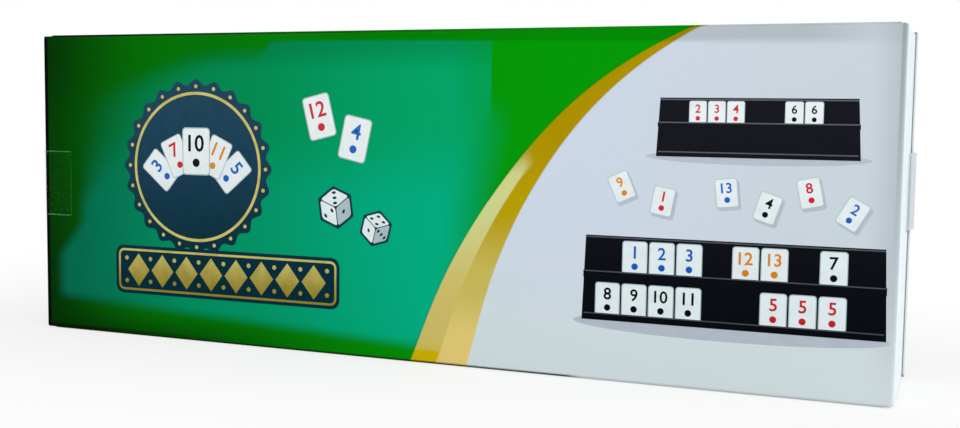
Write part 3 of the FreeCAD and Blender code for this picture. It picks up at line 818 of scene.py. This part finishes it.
def make_closure(side):
    """One end: the end flap, its tongue, two dust flaps and the creases between them. side is 1 at the right
    and -1 at the left, where everything is turned half a turn about the upright axis."""
    name = "right" if side > 0 else "left"
    print_end = RIGHT_PRINT if side > 0 else LEFT_PRINT
    hinge_print = FRONT_PRINT if side > 0 else BACK_PRINT
    tongue_half = (math.pi / 2 - TONGUE_LEAN) / 2
    out, back = X * side, Y * side

    hinge = np.array((side * END_X, side * FRONT_Y, END_LEVEL))
    tall = HEIGHT - 2 * END_LEVEL
    flap = board(
        hinge, back, Z, out, straight(END_FLAP_WIDTH, END_STATIONS, SQUARE, tongue_half),
        straight(tall, UPRIGHT_STATIONS)
    )
    finish_board(flap, f"{name}_end_flap", print_end, f"{name}_end")

    lean = -out * math.cos(TONGUE_LEAN) - back * math.sin(TONGUE_LEAN)
    lean_out = -out * math.sin(TONGUE_LEAN) + back * math.cos(TONGUE_LEAN)
    root = hinge + back * END_FLAP_WIDTH
    root[2] = TONGUE_LEVEL
    width = HEIGHT - 2 * TONGUE_LEVEL

    def tongue_shape(u, v):
        inset = corner_inset(TONGUE_LENGTH - u, TONGUE_CORNER)
        return u, inset + v * (1 - 2 * inset / width)

    tongue = board(
        root, lean, Z, lean_out, rounded_end(TONGUE_LENGTH, TONGUE_CORNER, TONGUE_CORNER_STEPS, tongue_half),
        straight(width, PANEL_STATIONS), tongue_shape
    )
    finish_board(tongue, f"{name}_tuck_tongue", print_end, f"{name}_tongue")

    dust_low, dust_high = span(f"{name}_upper_dust_flap")
    near, far = sorted((side * dust_low[1], side * dust_high[1]))
    dust_length = dust_high[2] - dust_low[2]
    breadth = far - near

    def dust_shape(u, v):
        """The hinge side runs in by the taper, and both free corners are rounded."""
        inset = corner_inset(dust_length - u, DUST_CORNER)
        low = np.clip(u, 0, None) * math.tan(DUST_TAPER) + inset
        high = breadth - inset
        return u, low + v / breadth * (high - low)

    for level, way, which in ((HEIGHT, -Z, "upper"), (0.0, Z, "lower")):
        start = np.array((side * DUST_X, 0, level)) + back * near
        dust = board(
            start, way, back, out, rounded_end(dust_length, DUST_CORNER, DUST_CORNER_STEPS, SQUARE),
            straight(breadth, DUST_STATIONS), dust_shape
        )
        finish_board(dust, f"{name}_{which}_dust_flap", LINING, f"{name}_{which}_dust")
        crease(
            f"{name}_{which}_dust_fold", start, -out, -way, way, out, back, breadth,
            board_materials(FRONT_PRINT)
        )
    crease(
        f"{name}_hinge_fold", hinge, -out, -back, back, out, Z, tall,
        board_materials(hinge_print), HINGE_FLARE
    )
    crease(
        f"{name}_tongue_fold", root, -back, out, lean, lean_out, Z, width,
        board_materials(print_end)
    )


for side in (1, -1):
    make_closure(side)


# ---------------------------------------------------------------- printed motifs

CORNER_POINTS = 5
INK_RISE, INK_MOTTLE = (20, 115), 0.12
GOLD_RISE, GOLD_MOTTLE = (22, 44), 0.3
MOTTLE_BREAKS, MOTTLE_DARK = (0.35, 0.75), 0.55


def ink(name, foot, head, rise=INK_RISE, mottle=INK_MOTTLE):
    """Printed ink under the laminate: a colour at one level that passes to another at a higher level, broken
    by a faint mottle."""
    foot, head = linear(*foot), linear(*head)

    def colour(at):
        share = ease(noise(at, scale=0.26, detail=4.0), *MOTTLE_BREAKS, 0.0, mottle)
        return layers(foot, (ease(at.z, *rise), head), (share, darker(foot, MOTTLE_DARK)))
    return laminate(name, colour)


INKS = {
    "navy": ink("navy_ink", (4, 44, 58), (34, 70, 92)),
    "gold": ink("gold_ink", (150, 132, 44), (206, 196, 112), GOLD_RISE, GOLD_MOTTLE),
    "cream": ink("cream_ink", (222, 234, 236), (236, 242, 244)),
    "shade": ink("grey_ink", (168, 188, 194), (182, 198, 206)),
    "shadow": ink("shadow_ink", (178, 188, 200), (186, 194, 206)),
    "black": ink("black_ink", (8, 10, 16), (24, 26, 32)),
    "steel": ink("steel_ink", (70, 74, 84), (96, 100, 110)),
    "red": ink("red_ink", (196, 30, 44), (210, 52, 58)),
    "blue": ink("blue_ink", (22, 84, 186), (40, 110, 204)),
    "orange": ink("orange_ink", (214, 124, 16), (228, 150, 40)),
}
FILMS = {colour: Shape() for colour in INKS}


def pressed(rings, sheet=None):
    """The corners and faces of a closed film between two copies of a flat figure. It is filled as one face,
    or with a sheet's own triangles and outer sides."""
    points, blocks = loft(rings)
    if sheet:
        triangles, sides = sheet
        behind = rings.shape[1]
        rim = np.concatenate([sides[:, ::-1] + behind, sides], 1)
        blocks = [triangles, triangles[:, ::-1] + behind, rim]
    return points, blocks


def film(colour, level, flat, sheet=None):
    """A thin closed film on the front, from corners (along, up), at its level in front of the liner."""
    flat = np.asarray(flat, float)
    face = FRONT_Y + SKIN - level * FILM_STEP
    rings = [np.stack([flat[:, 0], np.full(len(flat), y), flat[:, 1]], -1) for y in (face + FILM, face)]
    FILMS[colour].add(*pressed(np.stack(rings), sheet))


def turned(outline, centre=(0.0, 0.0), angle=0.0):
    """An outline turned by an angle in degrees about the origin and moved to a centre."""
    c, s = math.cos(math.radians(angle)), math.sin(math.radians(angle))
    return np.asarray(outline) @ np.array(((c, s), (-s, c))) + np.asarray(centre)


def moved(reach, centre, angle):
    """Where a single place lands when it is turned and moved."""
    return turned((reach,), centre, angle)[0]


def polar(reach, turns):
    return np.stack([reach * np.cos(turns), reach * np.sin(turns)], -1)


def rounded(width, height, radius):
    """A rectangle about the origin with a quarter circle at each corner."""
    arc = polar(radius, np.linspace(0, math.pi / 2, CORNER_POINTS))
    reach = np.array((width / 2 - radius, height / 2 - radius))
    quarters = [turned(arc, angle=90.0 * k) + reach * signs
                for k, signs in enumerate(((1, 1), (-1, 1), (-1, -1), (1, -1)))]
    return np.concatenate(quarters)


def box(left, foot, right, head, lean=0.0):
    """The corners of an upright box, whose head may be narrower by a lean at each side."""
    return np.array(((left, foot), (right, foot), (right - lean, head), (left + lean, head)))


def disc(radius, count, lobes=0, depth=0.0):
    """A circle about the origin whose radius may swell and shrink as the cosine of so many lobes."""
    turns = np.arange(count) * 2 * math.pi / count
    return polar(radius + depth * np.cos(lobes * turns), turns)


def star(radius):
    """A five-pointed star whose radius goes between full at a point and STAR_NOTCH of it at a notch."""
    steps = np.arange(2 * STAR_POINTS)
    reach = np.where(steps % 2, radius * STAR_NOTCH, radius)
    return polar(reach, steps * math.pi / STAR_POINTS + math.pi / 2)


STAR_POINTS, STAR_NOTCH = 5, 0.45
NUMBER_WEIGHT = 0.018
NUMBER_CURVE_STEPS = 3
NUMBERS = {}


def number(text):
    """A number one unit high about the origin: its flat corners, and its triangles and outer sides. A side is
    outer where no triangle holds it the other way round."""
    if text not in NUMBERS:
        curve = bpy.data.curves.new("number", "FONT")
        curve.body = text
        curve.offset = NUMBER_WEIGHT
        curve.resolution_u = NUMBER_CURVE_STEPS
        holder = place_new("number", curve)
        bpy.context.view_layer.update()
        mesh = bpy.data.meshes.new_from_object(holder.evaluated_get(bpy.context.evaluated_depsgraph_get()))
        mesh.calc_loop_triangles()
        corners = np.empty(len(mesh.vertices) * 3)
        mesh.vertices.foreach_get("co", corners)
        triangles = np.empty(len(mesh.loop_triangles) * 3, np.int32)
        mesh.loop_triangles.foreach_get("vertices", triangles)
        bpy.data.objects.remove(holder)
        bpy.data.curves.remove(curve)
        bpy.data.meshes.remove(mesh)
        flat, back = np.unique(corners.reshape(-1, 3)[:, :2].round(5), axis=0, return_inverse=True)
        triangles = back.reshape(-1)[triangles].reshape(-1, 3)
        a, b, c = triangles.T
        triangles = triangles[(a != b) & (b != c) & (c != a)]
        starts, ends = triangles.ravel(), np.roll(triangles, -1, 1).ravel()
        outer = ~np.isin(starts * len(flat) + ends, ends * len(flat) + starts)
        low, high = flat.min(0), flat.max(0)
        flat = (flat - (low + high) / 2) / (high[1] - low[1])
        NUMBERS[text] = flat, (triangles, np.stack([starts[outer], ends[outer]], -1))
    return NUMBERS[text]


# A printed tile's parts, as shares of its width or height. It takes up three levels.
RIM_CORNER, FACE_CORNER, FACE_WIDTH, FACE_HEIGHT = 0.12, 0.1, 0.93, 0.95
MARK_HEIGHT, MARK_RISE, DOT_DROP, DOT_RADIUS = 0.36, 0.17, -0.24, 0.13


def printed_tile(centre, angle, size, text, colour, level):
    """A number tile: a grey rim, its pale face, its number and a dot under it."""
    width, height = size
    face = rounded(width * FACE_WIDTH, height * FACE_HEIGHT, width * FACE_CORNER)
    film("shade", level, turned(rounded(width, height, width * RIM_CORNER), centre, angle))
    film("cream", level + 1, turned(face, centre, angle))
    flat, sheet = number(text)
    mark = turned(flat * (height * MARK_HEIGHT), moved((0, height * MARK_RISE), centre, angle), angle)
    film(colour, level + 2, mark, sheet)
    film(colour, level + 2, disc(width * DOT_RADIUS, count=16) + moved((0, height * DOT_DROP), centre, angle))


# A printed die: its sides from the corner in the middle, its outline and the spots of a side by their count
DIE_SIDES = (0.0, -1.0), (-0.87, 0.5), (0.87, 0.5)
DIE_OUTLINE, DIE_SIDE, DIE_CORNER, PIP_RADIUS = 1.12, 0.94, 0.14, 0.1
PIPS = {
    1: ((0.5, 0.5),),
    2: ((0.27, 0.27), (0.73, 0.73)),
    3: ((0.23, 0.23), (0.5, 0.5), (0.77, 0.77)),
    4: ((0.27, 0.27), (0.27, 0.73), (0.73, 0.27), (0.73, 0.73)),
}


def printed_die(centre, size, angle, pips):
    """A die seen on one corner: three slanted squares that meet at the centre, with pips on each."""
    down, left, right = turned(DIE_SIDES, angle=angle)
    film("navy", 1, turned(disc(size * DIE_OUTLINE, count=6), centre, 30 + angle))
    faces = (left, right, "cream"), (left, down, "cream"), (right, down, "shade")
    for (a, b, colour), count in zip(faces, pips):
        slant = np.stack([a, b]) * size
        film(colour, 2, (rounded(DIE_SIDE, DIE_SIDE, DIE_CORNER) + 0.5) @ slant + centre)
        for spot in PIPS[count]:
            film("navy", 3, (disc(PIP_RADIUS, count=12) + spot) @ slant + centre)


MEDALLION = (-106.0, 78.0)
MEDALLION_RADIUS, LOBES, LOBE_DEPTH = 37.5, 24, 1.3
BEAD_RADIUS, BEAD_REACH = 0.85, 35.6
RING_OUTER, RING_INNER = 33.2, 31.9
FAN_REACH, FAN_DROP = 24.5, 17.5
FAN_SIZE, FAN_MIDDLE_SIZE = (11.5, 17.5), (14.5, 21.0)
FAN = (
    (50, "3", "blue", 4), (-50, "5", "blue", 4), (25, "7", "red", 6), (-25, "11", "orange", 6),
    (0, "10", "black", 8),
)


def print_medallion():
    """A scalloped navy disc ringed in gold, with a fan of number tiles on it."""
    film("navy", 1, disc(MEDALLION_RADIUS, 8 * LOBES, LOBES, LOBE_DEPTH) + MEDALLION)
    for k in range(LOBES):
        film("gold", 2, disc(BEAD_RADIUS, count=12) + moved((BEAD_REACH, 0), MEDALLION, k * 360.0 / LOBES))
    film("gold", 2, disc(RING_OUTER, count=96) + MEDALLION)
    film("navy", 3, disc(RING_INNER, count=96) + MEDALLION)
    hub = (MEDALLION[0], MEDALLION[1] - FAN_DROP)
    for tilt, text, colour, level in FAN:
        size = FAN_SIZE if tilt else FAN_MIDDLE_SIZE
        printed_tile(moved((0, FAN_REACH), hub, tilt), tilt, size, text, colour, level)


PLAQUE = np.array((-92.0, 30.5))
PLAQUE_WIDTH, PLAQUE_HEIGHT = 116.0, 22.0
PLAQUE_LEVEL, PLAQUE_LAYERS = 4, (("navy", 0.0, 4.0), ("gold", 3.0, 2.8), ("navy", 5.0, 2.0))
LOZENGES, LOZENGE_WIDTH, LOZENGE_HEIGHT, LOZENGE_MARGIN = 8, 5.9, 7.4, 12.0
STUD_RADIUS, STUD_RISE = 1.0, 5.2


def print_plaque():
    """A navy plaque edged in gold, with a row of lozenges and studs."""
    top = PLAQUE_LEVEL + len(PLAQUE_LAYERS)
    for level, (colour, less, radius) in enumerate(PLAQUE_LAYERS, PLAQUE_LEVEL):
        film(colour, level, rounded(PLAQUE_WIDTH - less, PLAQUE_HEIGHT - less, radius) + PLAQUE)
    lozenge = np.array(((0, LOZENGE_HEIGHT), (-LOZENGE_WIDTH, 0), (0, -LOZENGE_HEIGHT), (LOZENGE_WIDTH, 0)))
    step = (PLAQUE_WIDTH - LOZENGE_MARGIN) / LOZENGES
    for k in range(LOZENGES):
        film("gold", top, lozenge + PLAQUE + ((k - (LOZENGES - 1) / 2) * step, 0))
    for k in range(LOZENGES + 1):
        for rise in (-STUD_RISE, STUD_RISE):
            film("gold", top, disc(STUD_RADIUS, count=14) + PLAQUE + ((k - LOZENGES / 2) * step, rise))


# A printed rack: its lean, its first tile's place, and its tiles, lips and pale lines as shares of a tier
RACK_LEAN, RACK_START, RACK_FOOT = 1.2, 5.0, 0.1
RACK_TILE = np.array((0.60, 0.80))
RACK_TILE_STEP = 1.06
LIP_INSET, LIP_HEIGHT = 0.4, 0.17
LIP_LINE_INSET, LIP_LINE_RISE, LIP_LINE = 0.8, 0.14, 0.45
HEAD_LINE_DROP, HEAD_LINE = 0.9, 0.5


def print_rack(corner, size, shadow, tiers):
    """A two-tier rack from the front: its shadow at level 1, a dark back at 2, the tiles on each tier at 3
    to 5, a lip before them at 6 and pale lines at 7. tiers are, from the foot up, groups as (first place,
    colour, numbers)."""
    middle, radii = shadow
    film("shadow", 1, disc(1.0, count=40) * radii + middle)
    width, height = size
    tier = height / 2
    film("black", 2, box(0, 0, width, height, RACK_LEAN) + corner)
    tile = RACK_TILE * tier
    for row, groups in enumerate(tiers):
        foot = np.array(corner) + (0, row * tier)
        for first, colour, numbers in groups:
            for k, text in enumerate(numbers):
                reach = RACK_START + (first + k + 0.5) * tile[0] * RACK_TILE_STEP
                printed_tile(foot + (reach, tier * RACK_FOOT + tile[1] / 2), 0.0, tile, text, colour, 3)
        film("black", 6, box(LIP_INSET, 0, width - LIP_INSET, tier * LIP_HEIGHT) + foot)
        line = box(LIP_LINE_INSET, 0, width - LIP_LINE_INSET, LIP_LINE)
        film("steel", 7, line + foot + (0, tier * LIP_LINE_RISE))
    head = height - HEAD_LINE_DROP
    film("steel", 7, box(RACK_LEAN, head, width - RACK_LEAN, head + HEAD_LINE) + corner)


# What is printed over the front: tiles as (centre, angle, number, colour), dice as (centre, size, angle,
# pips) and racks as (corner, size, (shadow's centre, its radii), tiers)
GREEN_TILES = ((-44, 101), 14, "12", "red"), ((-27, 92), -12, "4", "blue")
GREEN_TILE_SIZE = (13.0, 18.5)
DICE = ((-36.0, 63.0), 8.2, 8, (3, 2, 1)), ((-17.0, 55.0), 7.0, -14, (4, 1, 3))
WHITE_TILES = (
    ((88, 76), 24, "9", "orange"), ((104, 71), -10, "1", "red"), ((128, 75), 6, "13", "blue"),
    ((143, 70), -18, "4", "black"), ((158, 76), 12, "8", "red"), ((173, 69), -30, "2", "blue"),
)
WHITE_TILE_SIZE = (8.4, 10.8)
WHITE_TILE_SHADOW, SHADOW_FALL = (8.6, 11.0, 1.0), (0.8, -1.0)
RACKS = (
    ((73.0, 24.0), (113.0, 33.0), ((128.5, 23.5), (59.0, 4.2)), (
        ((0, "black", ("8", "9", "10", "11")), (6, "red", ("5", "5", "5"))),
        ((1, "blue", ("1", "2", "3")), (5, "orange", ("12", "13")), (8, "black", ("7",))),
    )),
    ((101.0, 88.0), (74.0, 22.0), ((138.0, 88.0), (41.0, 2.6)), (
        (),
        ((1, "red", ("2", "3", "4")), (6, "black", ("6", "6"))),
    )),
)


def make_front_motifs():
    print_medallion()
    print_plaque()
    for centre, angle, text, colour in GREEN_TILES:
        printed_tile(centre, angle, GREEN_TILE_SIZE, text, colour, 1)
    for die in DICE:
        printed_die(*die)
    for rack in RACKS:
        print_rack(*rack)
    for centre, angle, text, colour in WHITE_TILES:
        film("shadow", 1, turned(rounded(*WHITE_TILE_SHADOW), np.add(centre, SHADOW_FALL), angle))
        printed_tile(centre, angle, WHITE_TILE_SIZE, text, colour, 2)

    for colour, made in FILMS.items():
        piece = made.build(f"front_print_{colour}", [INKS[colour]])
        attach(piece, "root")


make_front_motifs()


# ---------------------------------------------------------------- seals

# How opaque the tape's cut sides and its inner end are, over their last part of a millimetre: their paleness
# is painted highlight
TAPE_SIDE, TAPE_END = (0.7, 0.25, 0.0, 0.16), (0.6, 0.2, 0.0, 0.04)
TAPE_START, TAPE_BEND = 175.0, (13.6, 15.2)
STREAKS, STREAK_SHARE, RIM_BREAKS = (0.4, 0.75), 0.003, (0.3, 0.5, 0.45, 1.0)


def tape_clarity(at, middle, width, loose, stuck):
    """How clear a strip of tape is: nearly clear where it is stuck, with pale cut edges that are painted
    highlights, and milky where it stands off in an open bend, partly a real milky film and partly painted
    reflection."""
    # Painted highlight: the cut sides and inner end are made more opaque and pale
    side = ease(width * 0.5 - abs(at.z - middle), *TAPE_SIDE)
    reach = abs(at.x) - TAPE_START
    noisy = noise(at, scale=0.35, detail=3.0)
    body = stuck + ease(reach, *TAPE_BEND) * loose + ease(noisy, *STREAKS) * STREAK_SHARE
    rims = most(side, ease(reach, *TAPE_END)) * ease(noisy, *RIM_BREAKS)
    return body.math("ADD", rims, clamp=True), noisy


TAPE = group(
    tape_clarity, {"Alpha": NUMBER, "Height": NUMBER}, Place=None, Middle=68.5, Width=30.0, Loose=0.3,
    Stuck=0.003
)


def dress(node, material):
    """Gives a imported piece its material."""
    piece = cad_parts[node]
    if not piece.material_slots:
        piece.data.materials.append(material)
    for place in piece.material_slots:
        place.material = material


def clear_tape(node, loose, tint):
    """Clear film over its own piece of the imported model."""
    material, shader, at = new_material(
        node + "_film", Roughness=0.16, Base_Color=linear(*tint), Specular_IOR_Level=0.4
    )
    foot, head = (float(corner[2]) for corner in span(node))
    made = use(TAPE, Place=at, Middle=(foot + head) / 2, Width=head - foot, Loose=loose)
    wire(shader, Alpha=made["Alpha"])
    emboss(shader, made["Height"], strength=0.3, distance=0.3)
    dress(node, material)


clear_tape("left_tape_seal", loose=0.06, tint=(120, 214, 130))
clear_tape("right_tape_seal", loose=0.62, tint=(220, 226, 236))


# ---------------------------------------------------------------- contents

CLOUD, CLOUD_ROUGHNESS = (0.3, 0.7), 0.12


def moulded(name, base, roughness, grain, speckle):
    """Moulded plastic: a faint cloud in its colour and in its polish, and a fine grained skin."""
    material, shader, at = new_material(name, Specular_IOR_Level=0.45)
    cloud = noise(at, scale=0.03, detail=3.0)
    base = linear(*base)
    colour = layers(base, (ease(cloud, *CLOUD), darker(base, speckle)))
    wire(shader, Base_Color=colour, Roughness=ease(cloud, *CLOUD, roughness, roughness + CLOUD_ROUGHNESS))
    emboss(shader, noise(at, scale=grain, detail=4.0), strength=0.25, distance=0.04)
    return material


RACK_BLACK = moulded("rack_black", (24, 24, 27), roughness=0.34, grain=1.8, speckle=0.7)
IVORY = moulded("tile_ivory", (238, 230, 208), roughness=0.22, grain=0.7, speckle=0.9)
TRAY_CARD = fibrous("tray_card", (176, 168, 154), (122, 112, 98), strength=0.6, roughness=0.9, depth=0.08)
TILE_PAINTS = {
    colour: moulded(f"{colour}_paint", base, roughness=0.4, grain=2.0, speckle=speckle)
    for colour, base, speckle in (
        ("black", (22, 22, 26), 0.8), ("red", (190, 28, 36), 0.85), ("blue", (24, 78, 170), 0.85),
        ("yellow", (226, 160, 22), 0.85),
    )
}
TILE_THICKNESS = 6.4
TILE_ROOM = 0.1
TILE_CORNER = 3.0
TILE_SOFTENING = 0.9
TILE_SHARP, LEAFLET_SHARP = 60.0, 70.0
NUMBER_HEIGHT, NUMBER_LEVEL = 12.0, 0.63
STAR_SHARE = 0.6
RING_LEVEL, RING_RADII, RING_POINTS = 0.24, (3.4, 2.4), 24
PAINT_DEPTH = 0.03
COUNTED = [str(k) for k in range(1, 14)]
PAD_STATIONS = 14


def on_tile(flat, x, across, up):
    """Flat corners (along -Y, up) about a place on a tile's face."""
    return np.stack([np.full(len(flat), x), across - flat[:, 0], up + flat[:, 1]], -1)


def tile_rings(low, high):
    """A tile lies on its long edge with its faces across X. Its outline is a rounded rectangle, drawn in at
    both faces along a quarter circle: the inset is radius (1 - sin t) at a depth of radius (1 - cos t)."""
    middle, size = (low + high) / 2, high - low
    turns = np.linspace(0, math.pi / 2, CORNER_POINTS)
    inset = TILE_SOFTENING * (1 - np.sin(turns))
    depth = TILE_SOFTENING * (1 - np.cos(turns))
    places = np.concatenate([low[0] + depth, high[0] - depth[::-1]])
    return np.stack([
        on_tile(rounded(size[1] - 2 * less, size[2] - 2 * less, TILE_CORNER - less), x, middle[1], middle[2])
        for x, less in zip(places, np.concatenate([inset, inset[::-1]]))
    ])


def paint_face(paint, text, low, high):
    """A tile's number, or a star where it has none, and a small ring below it, which is flat and has closed
    seams between an outer and an inner circle on two levels."""
    x, middle, size = low[0], (low + high) / 2, high - low
    flat, sheet = number(text) if text else (star(STAR_SHARE), None)
    rings = [on_tile(flat * NUMBER_HEIGHT, at, middle[1], low[2] + size[2] * NUMBER_LEVEL)
             for at in (x, x - PAINT_DEPTH)]
    paint.add(*pressed(np.stack(rings), sheet))

    outer, inner = (disc(radius, RING_POINTS) for radius in RING_RADII)
    around = ((outer, x), (inner, x), (inner, x - PAINT_DEPTH), (outer, x - PAINT_DEPTH))
    around = [on_tile(flat, at, middle[1], low[2] + size[2] * RING_LEVEL) for flat, at in around]
    index = np.arange(4 * RING_POINTS).reshape(4, RING_POINTS)
    after, below = np.roll(index, -1, 1), np.roll(index, -1, 0)
    quads = np.stack([index, after, np.roll(after, -1, 0), below], -1).reshape(-1, 4)
    paint.add(np.concatenate(around), [quads])


def make_tiles(node, colour, places, texts):
    """A node's tiles, each between two corners, and the paint on their faces."""
    tiles, paint = Shape(), Shape()
    room = np.array((TILE_ROOM / 2, 0, 0))
    for (low, high), text in zip(places, texts):
        tiles.add(*loft(tile_rings(low + room, high - room)))
        paint_face(paint, text, low + room, high - room)
    piece = tiles.build(node + "_set", [IVORY], TILE_SHARP)
    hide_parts(node)
    painted = paint.build(node + "_numbers", [TILE_PAINTS[colour]])
    for made in (piece, painted):
        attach(made, "root")


def make_numbered(colour):
    """A colour's tiles side by side, counted from 1 to 13 twice over."""
    low, high = span(f"{colour}_tiles")
    count = int(round((high[0] - low[0]) / TILE_THICKNESS))
    far = np.array((low[0] + TILE_THICKNESS, high[1], high[2]))
    steps = [X * TILE_THICKNESS * k for k in range(count)]
    make_tiles(f"{colour}_tiles", colour, [(low + step, far + step) for step in steps], COUNTED * 2)


def make_jokers():
    """One joker in the middle of each row, with a star."""
    low, high = span("joker_tiles")
    half = Y * (high[1] - low[1]) / 2
    make_tiles("joker_tiles", "red", [(low, high - half), (low + half, high)], ("", ""))


def make_pad():
    """The flat fluted pad between the tiles and the racks, cut on all four sides."""
    low, high = span("divider_pad")
    size = high - low
    corner = np.array((low[0], low[1], high[2]))
    pad = board(corner, X, Y, Z, straight(size[0], PANEL_STATIONS), straight(size[1], PAD_STATIONS))
    finish_board(pad, "divider_pad", KRAFT)


LEAVES = 8
LEAF_POINTS = 9
LEAF_SAG, LEAF_WAVES = 0.04, 1.5
LEAFLET_INSET = 0.2
PAPER = 0.12
LINE_PITCH, COLUMN_PITCH = 1.9, 50.0
LINES, COLUMNS, LINE_BREAKS = (0.1, 0.5), (-0.8, -0.7), (0.4, 0.45, 0.1, 0.55)


def leaflet_paper():
    """Thin white paper with pale grey columns of ruled lines."""
    material, shader, at = new_material("leaflet_paper", Roughness=0.8, Specular_IOR_Level=0.2)
    line, column = wave(at.y, LINE_PITCH), wave(at.x, COLUMN_PITCH)
    fine = noise(at, scale=0.8, detail=2.0)
    mark = ease(line, *LINES) * ease(column, *COLUMNS) * ease(fine, *LINE_BREAKS)
    wire(shader, Base_Color=layers(linear(240, 240, 236), (mark, linear(150, 152, 158))))
    emboss(shader, fine, strength=0.2, distance=0.05)
    return material


def make_leaflet():
    """A sheet of paper folded to and fro: its middle line goes straight across a leaf, round half a circle at
    the fold and back, and the paper is half its thickness to each side along the line's normal."""
    low, high = span("rules_leaflet")
    pitch = (high[2] - low[2]) / LEAVES
    radius = pitch / 2
    reach = (high[1] - low[1]) / 2 - radius - PAPER
    turns = np.linspace(-math.pi / 2, math.pi / 2, LEAF_POINTS)[1:-1]
    line, normal = [], []
    for k in range(LEAVES):
        side = 1 if k % 2 == 0 else -1
        level = low[2] + pitch * (k + 0.5)
        across = np.linspace(-reach, reach, LEAF_POINTS) * side
        sag = LEAF_SAG * np.cos(across / reach * math.pi * LEAF_WAVES + k)
        line.append(np.stack([across, level + sag], -1))
        normal.append(np.tile((0.0, float(side)), (LEAF_POINTS, 1)))
        if k < LEAVES - 1:
            spoke = np.stack([np.cos(turns) * side, np.sin(turns)], -1)
            line.append(np.array((reach * side, level + radius)) + spoke * radius)
            normal.append(-spoke)
    line, normal = np.concatenate(line), np.concatenate(normal)
    ends = np.array((low[0] + LEAFLET_INSET, high[0] - LEAFLET_INSET))

    def face(offset):
        path = line + normal * offset + ((low[1] + high[1]) / 2, 0)
        return np.stack([np.insert(path, 0, x, axis=1) for x in ends])

    made = Shape()
    made.add(*slab(face(PAPER / 2), face(-PAPER / 2)))
    piece = made.build("rules_leaflet_folds", [leaflet_paper()] * 3, LEAFLET_SHARP)
    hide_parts("rules_leaflet")
    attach(piece, "root")


for colour in ("black", "red", "blue", "yellow"):
    make_numbered(colour)
make_jokers()
make_pad()
make_leaflet()
for wall in ("floor", "front_wall", "back_wall", "left_wall", "right_wall"):
    dress("tray_" + wall, TRAY_CARD)
for rack in range(1, 5):
    for part in ("", "_left_leg", "_right_leg"):
        dress(f"rack_{rack}{part}", RACK_BLACK)


# ---------------------------------------------------------------- studio

FLOOR_HALF = 4000.0
FLOOR_DROP = 0.02
FLOOR_WHITE = 0.92
FLOOR_GLOW = (0.0, 260.0, 0.72, 1.0)
WORLD_LIGHT, WORLD_SEEN = 0.5, 1.0
# Each lamp's name, place, what it points at, size and power
LAMPS = (
    ("key", (1.0, -1.4, 1.2), (0, 0, 0.06), 1.2, 14.0),
    ("fill", (-1.2, -1.0, 0.9), (0, 0, 0.06), 1.0, 6.0),
    ("side", (1.6, 0.1, 0.8), (0.19, 0, 0.07), 0.8, 9.0),
)


def backdrop_rays(tree):
    """1 for the rays that see the background itself: the camera's, and those that a glossy or clear piece
    sends on."""
    path = put(tree, "ShaderNodeLightPath").outputs
    return most(*(Value(path[f"Is {kind} Ray"]) for kind in ("Glossy", "Transmission", "Camera")))


def make_floor():
    """A pale floor. To the camera part of it glows white, and the rest takes light and shadow."""
    mesh = bpy.data.meshes.new("floor")
    corners = box(-FLOOR_HALF, -FLOOR_HALF, FLOOR_HALF, FLOOR_HALF) * MM
    mesh.from_pydata([(x, y, 0) for x, y in corners.tolist()], [], [(0, 1, 2, 3)])
    floor = place_new("floor", mesh)
    floor.location.z = -FLOOR_DROP * MM
    material, shader, at = new_material(
        "floor_white", Roughness=0.9, Specular_IOR_Level=0.0, Base_Color=(FLOOR_WHITE,) * 3
    )
    tree = material.node_tree
    glow = put(tree, "ShaderNodeEmission", {"Color": (1, 1, 1), "Strength": 1.0})
    away = most(abs(at.x) - CUT_X, abs(at.y) - BACK_Y, 0.0)
    share = backdrop_rays(tree) * ease(away, *FLOOR_GLOW)
    mixed = put(tree, "ShaderNodeMixShader", {0: share, 1: shader.outputs[0], 2: glow.outputs[0]})
    wire(tree.nodes["Material Output"], Surface=mixed.outputs[0])
    mesh.materials.append(material)


def make_lamp(name, place, aim, size, power):
    data = bpy.data.lights.new(name, "AREA")
    data.shape = "RECTANGLE"
    data.size = data.size_y = size
    data.energy = power
    lamp = place_new(name, data)
    lamp.location = place
    lamp.rotation_euler = (Vector(aim) - Vector(place)).to_track_quat("-Z", "Y").to_euler()


def make_world():
    """Even pale light, and plain white where the camera sees it."""
    world = bpy.data.worlds.new("studio")
    bpy.context.scene.world = world
    world.use_nodes = True
    background = world.node_tree.nodes["Background"]
    seen = backdrop_rays(world.node_tree) * (WORLD_SEEN - WORLD_LIGHT)
    wire(background, Color=(1, 1, 1), Strength=seen + WORLD_LIGHT)


make_floor()
make_world()
for lamp in LAMPS:
    make_lamp(*lamp)
bpy.context.scene.view_settings.view_transform = "Standard"
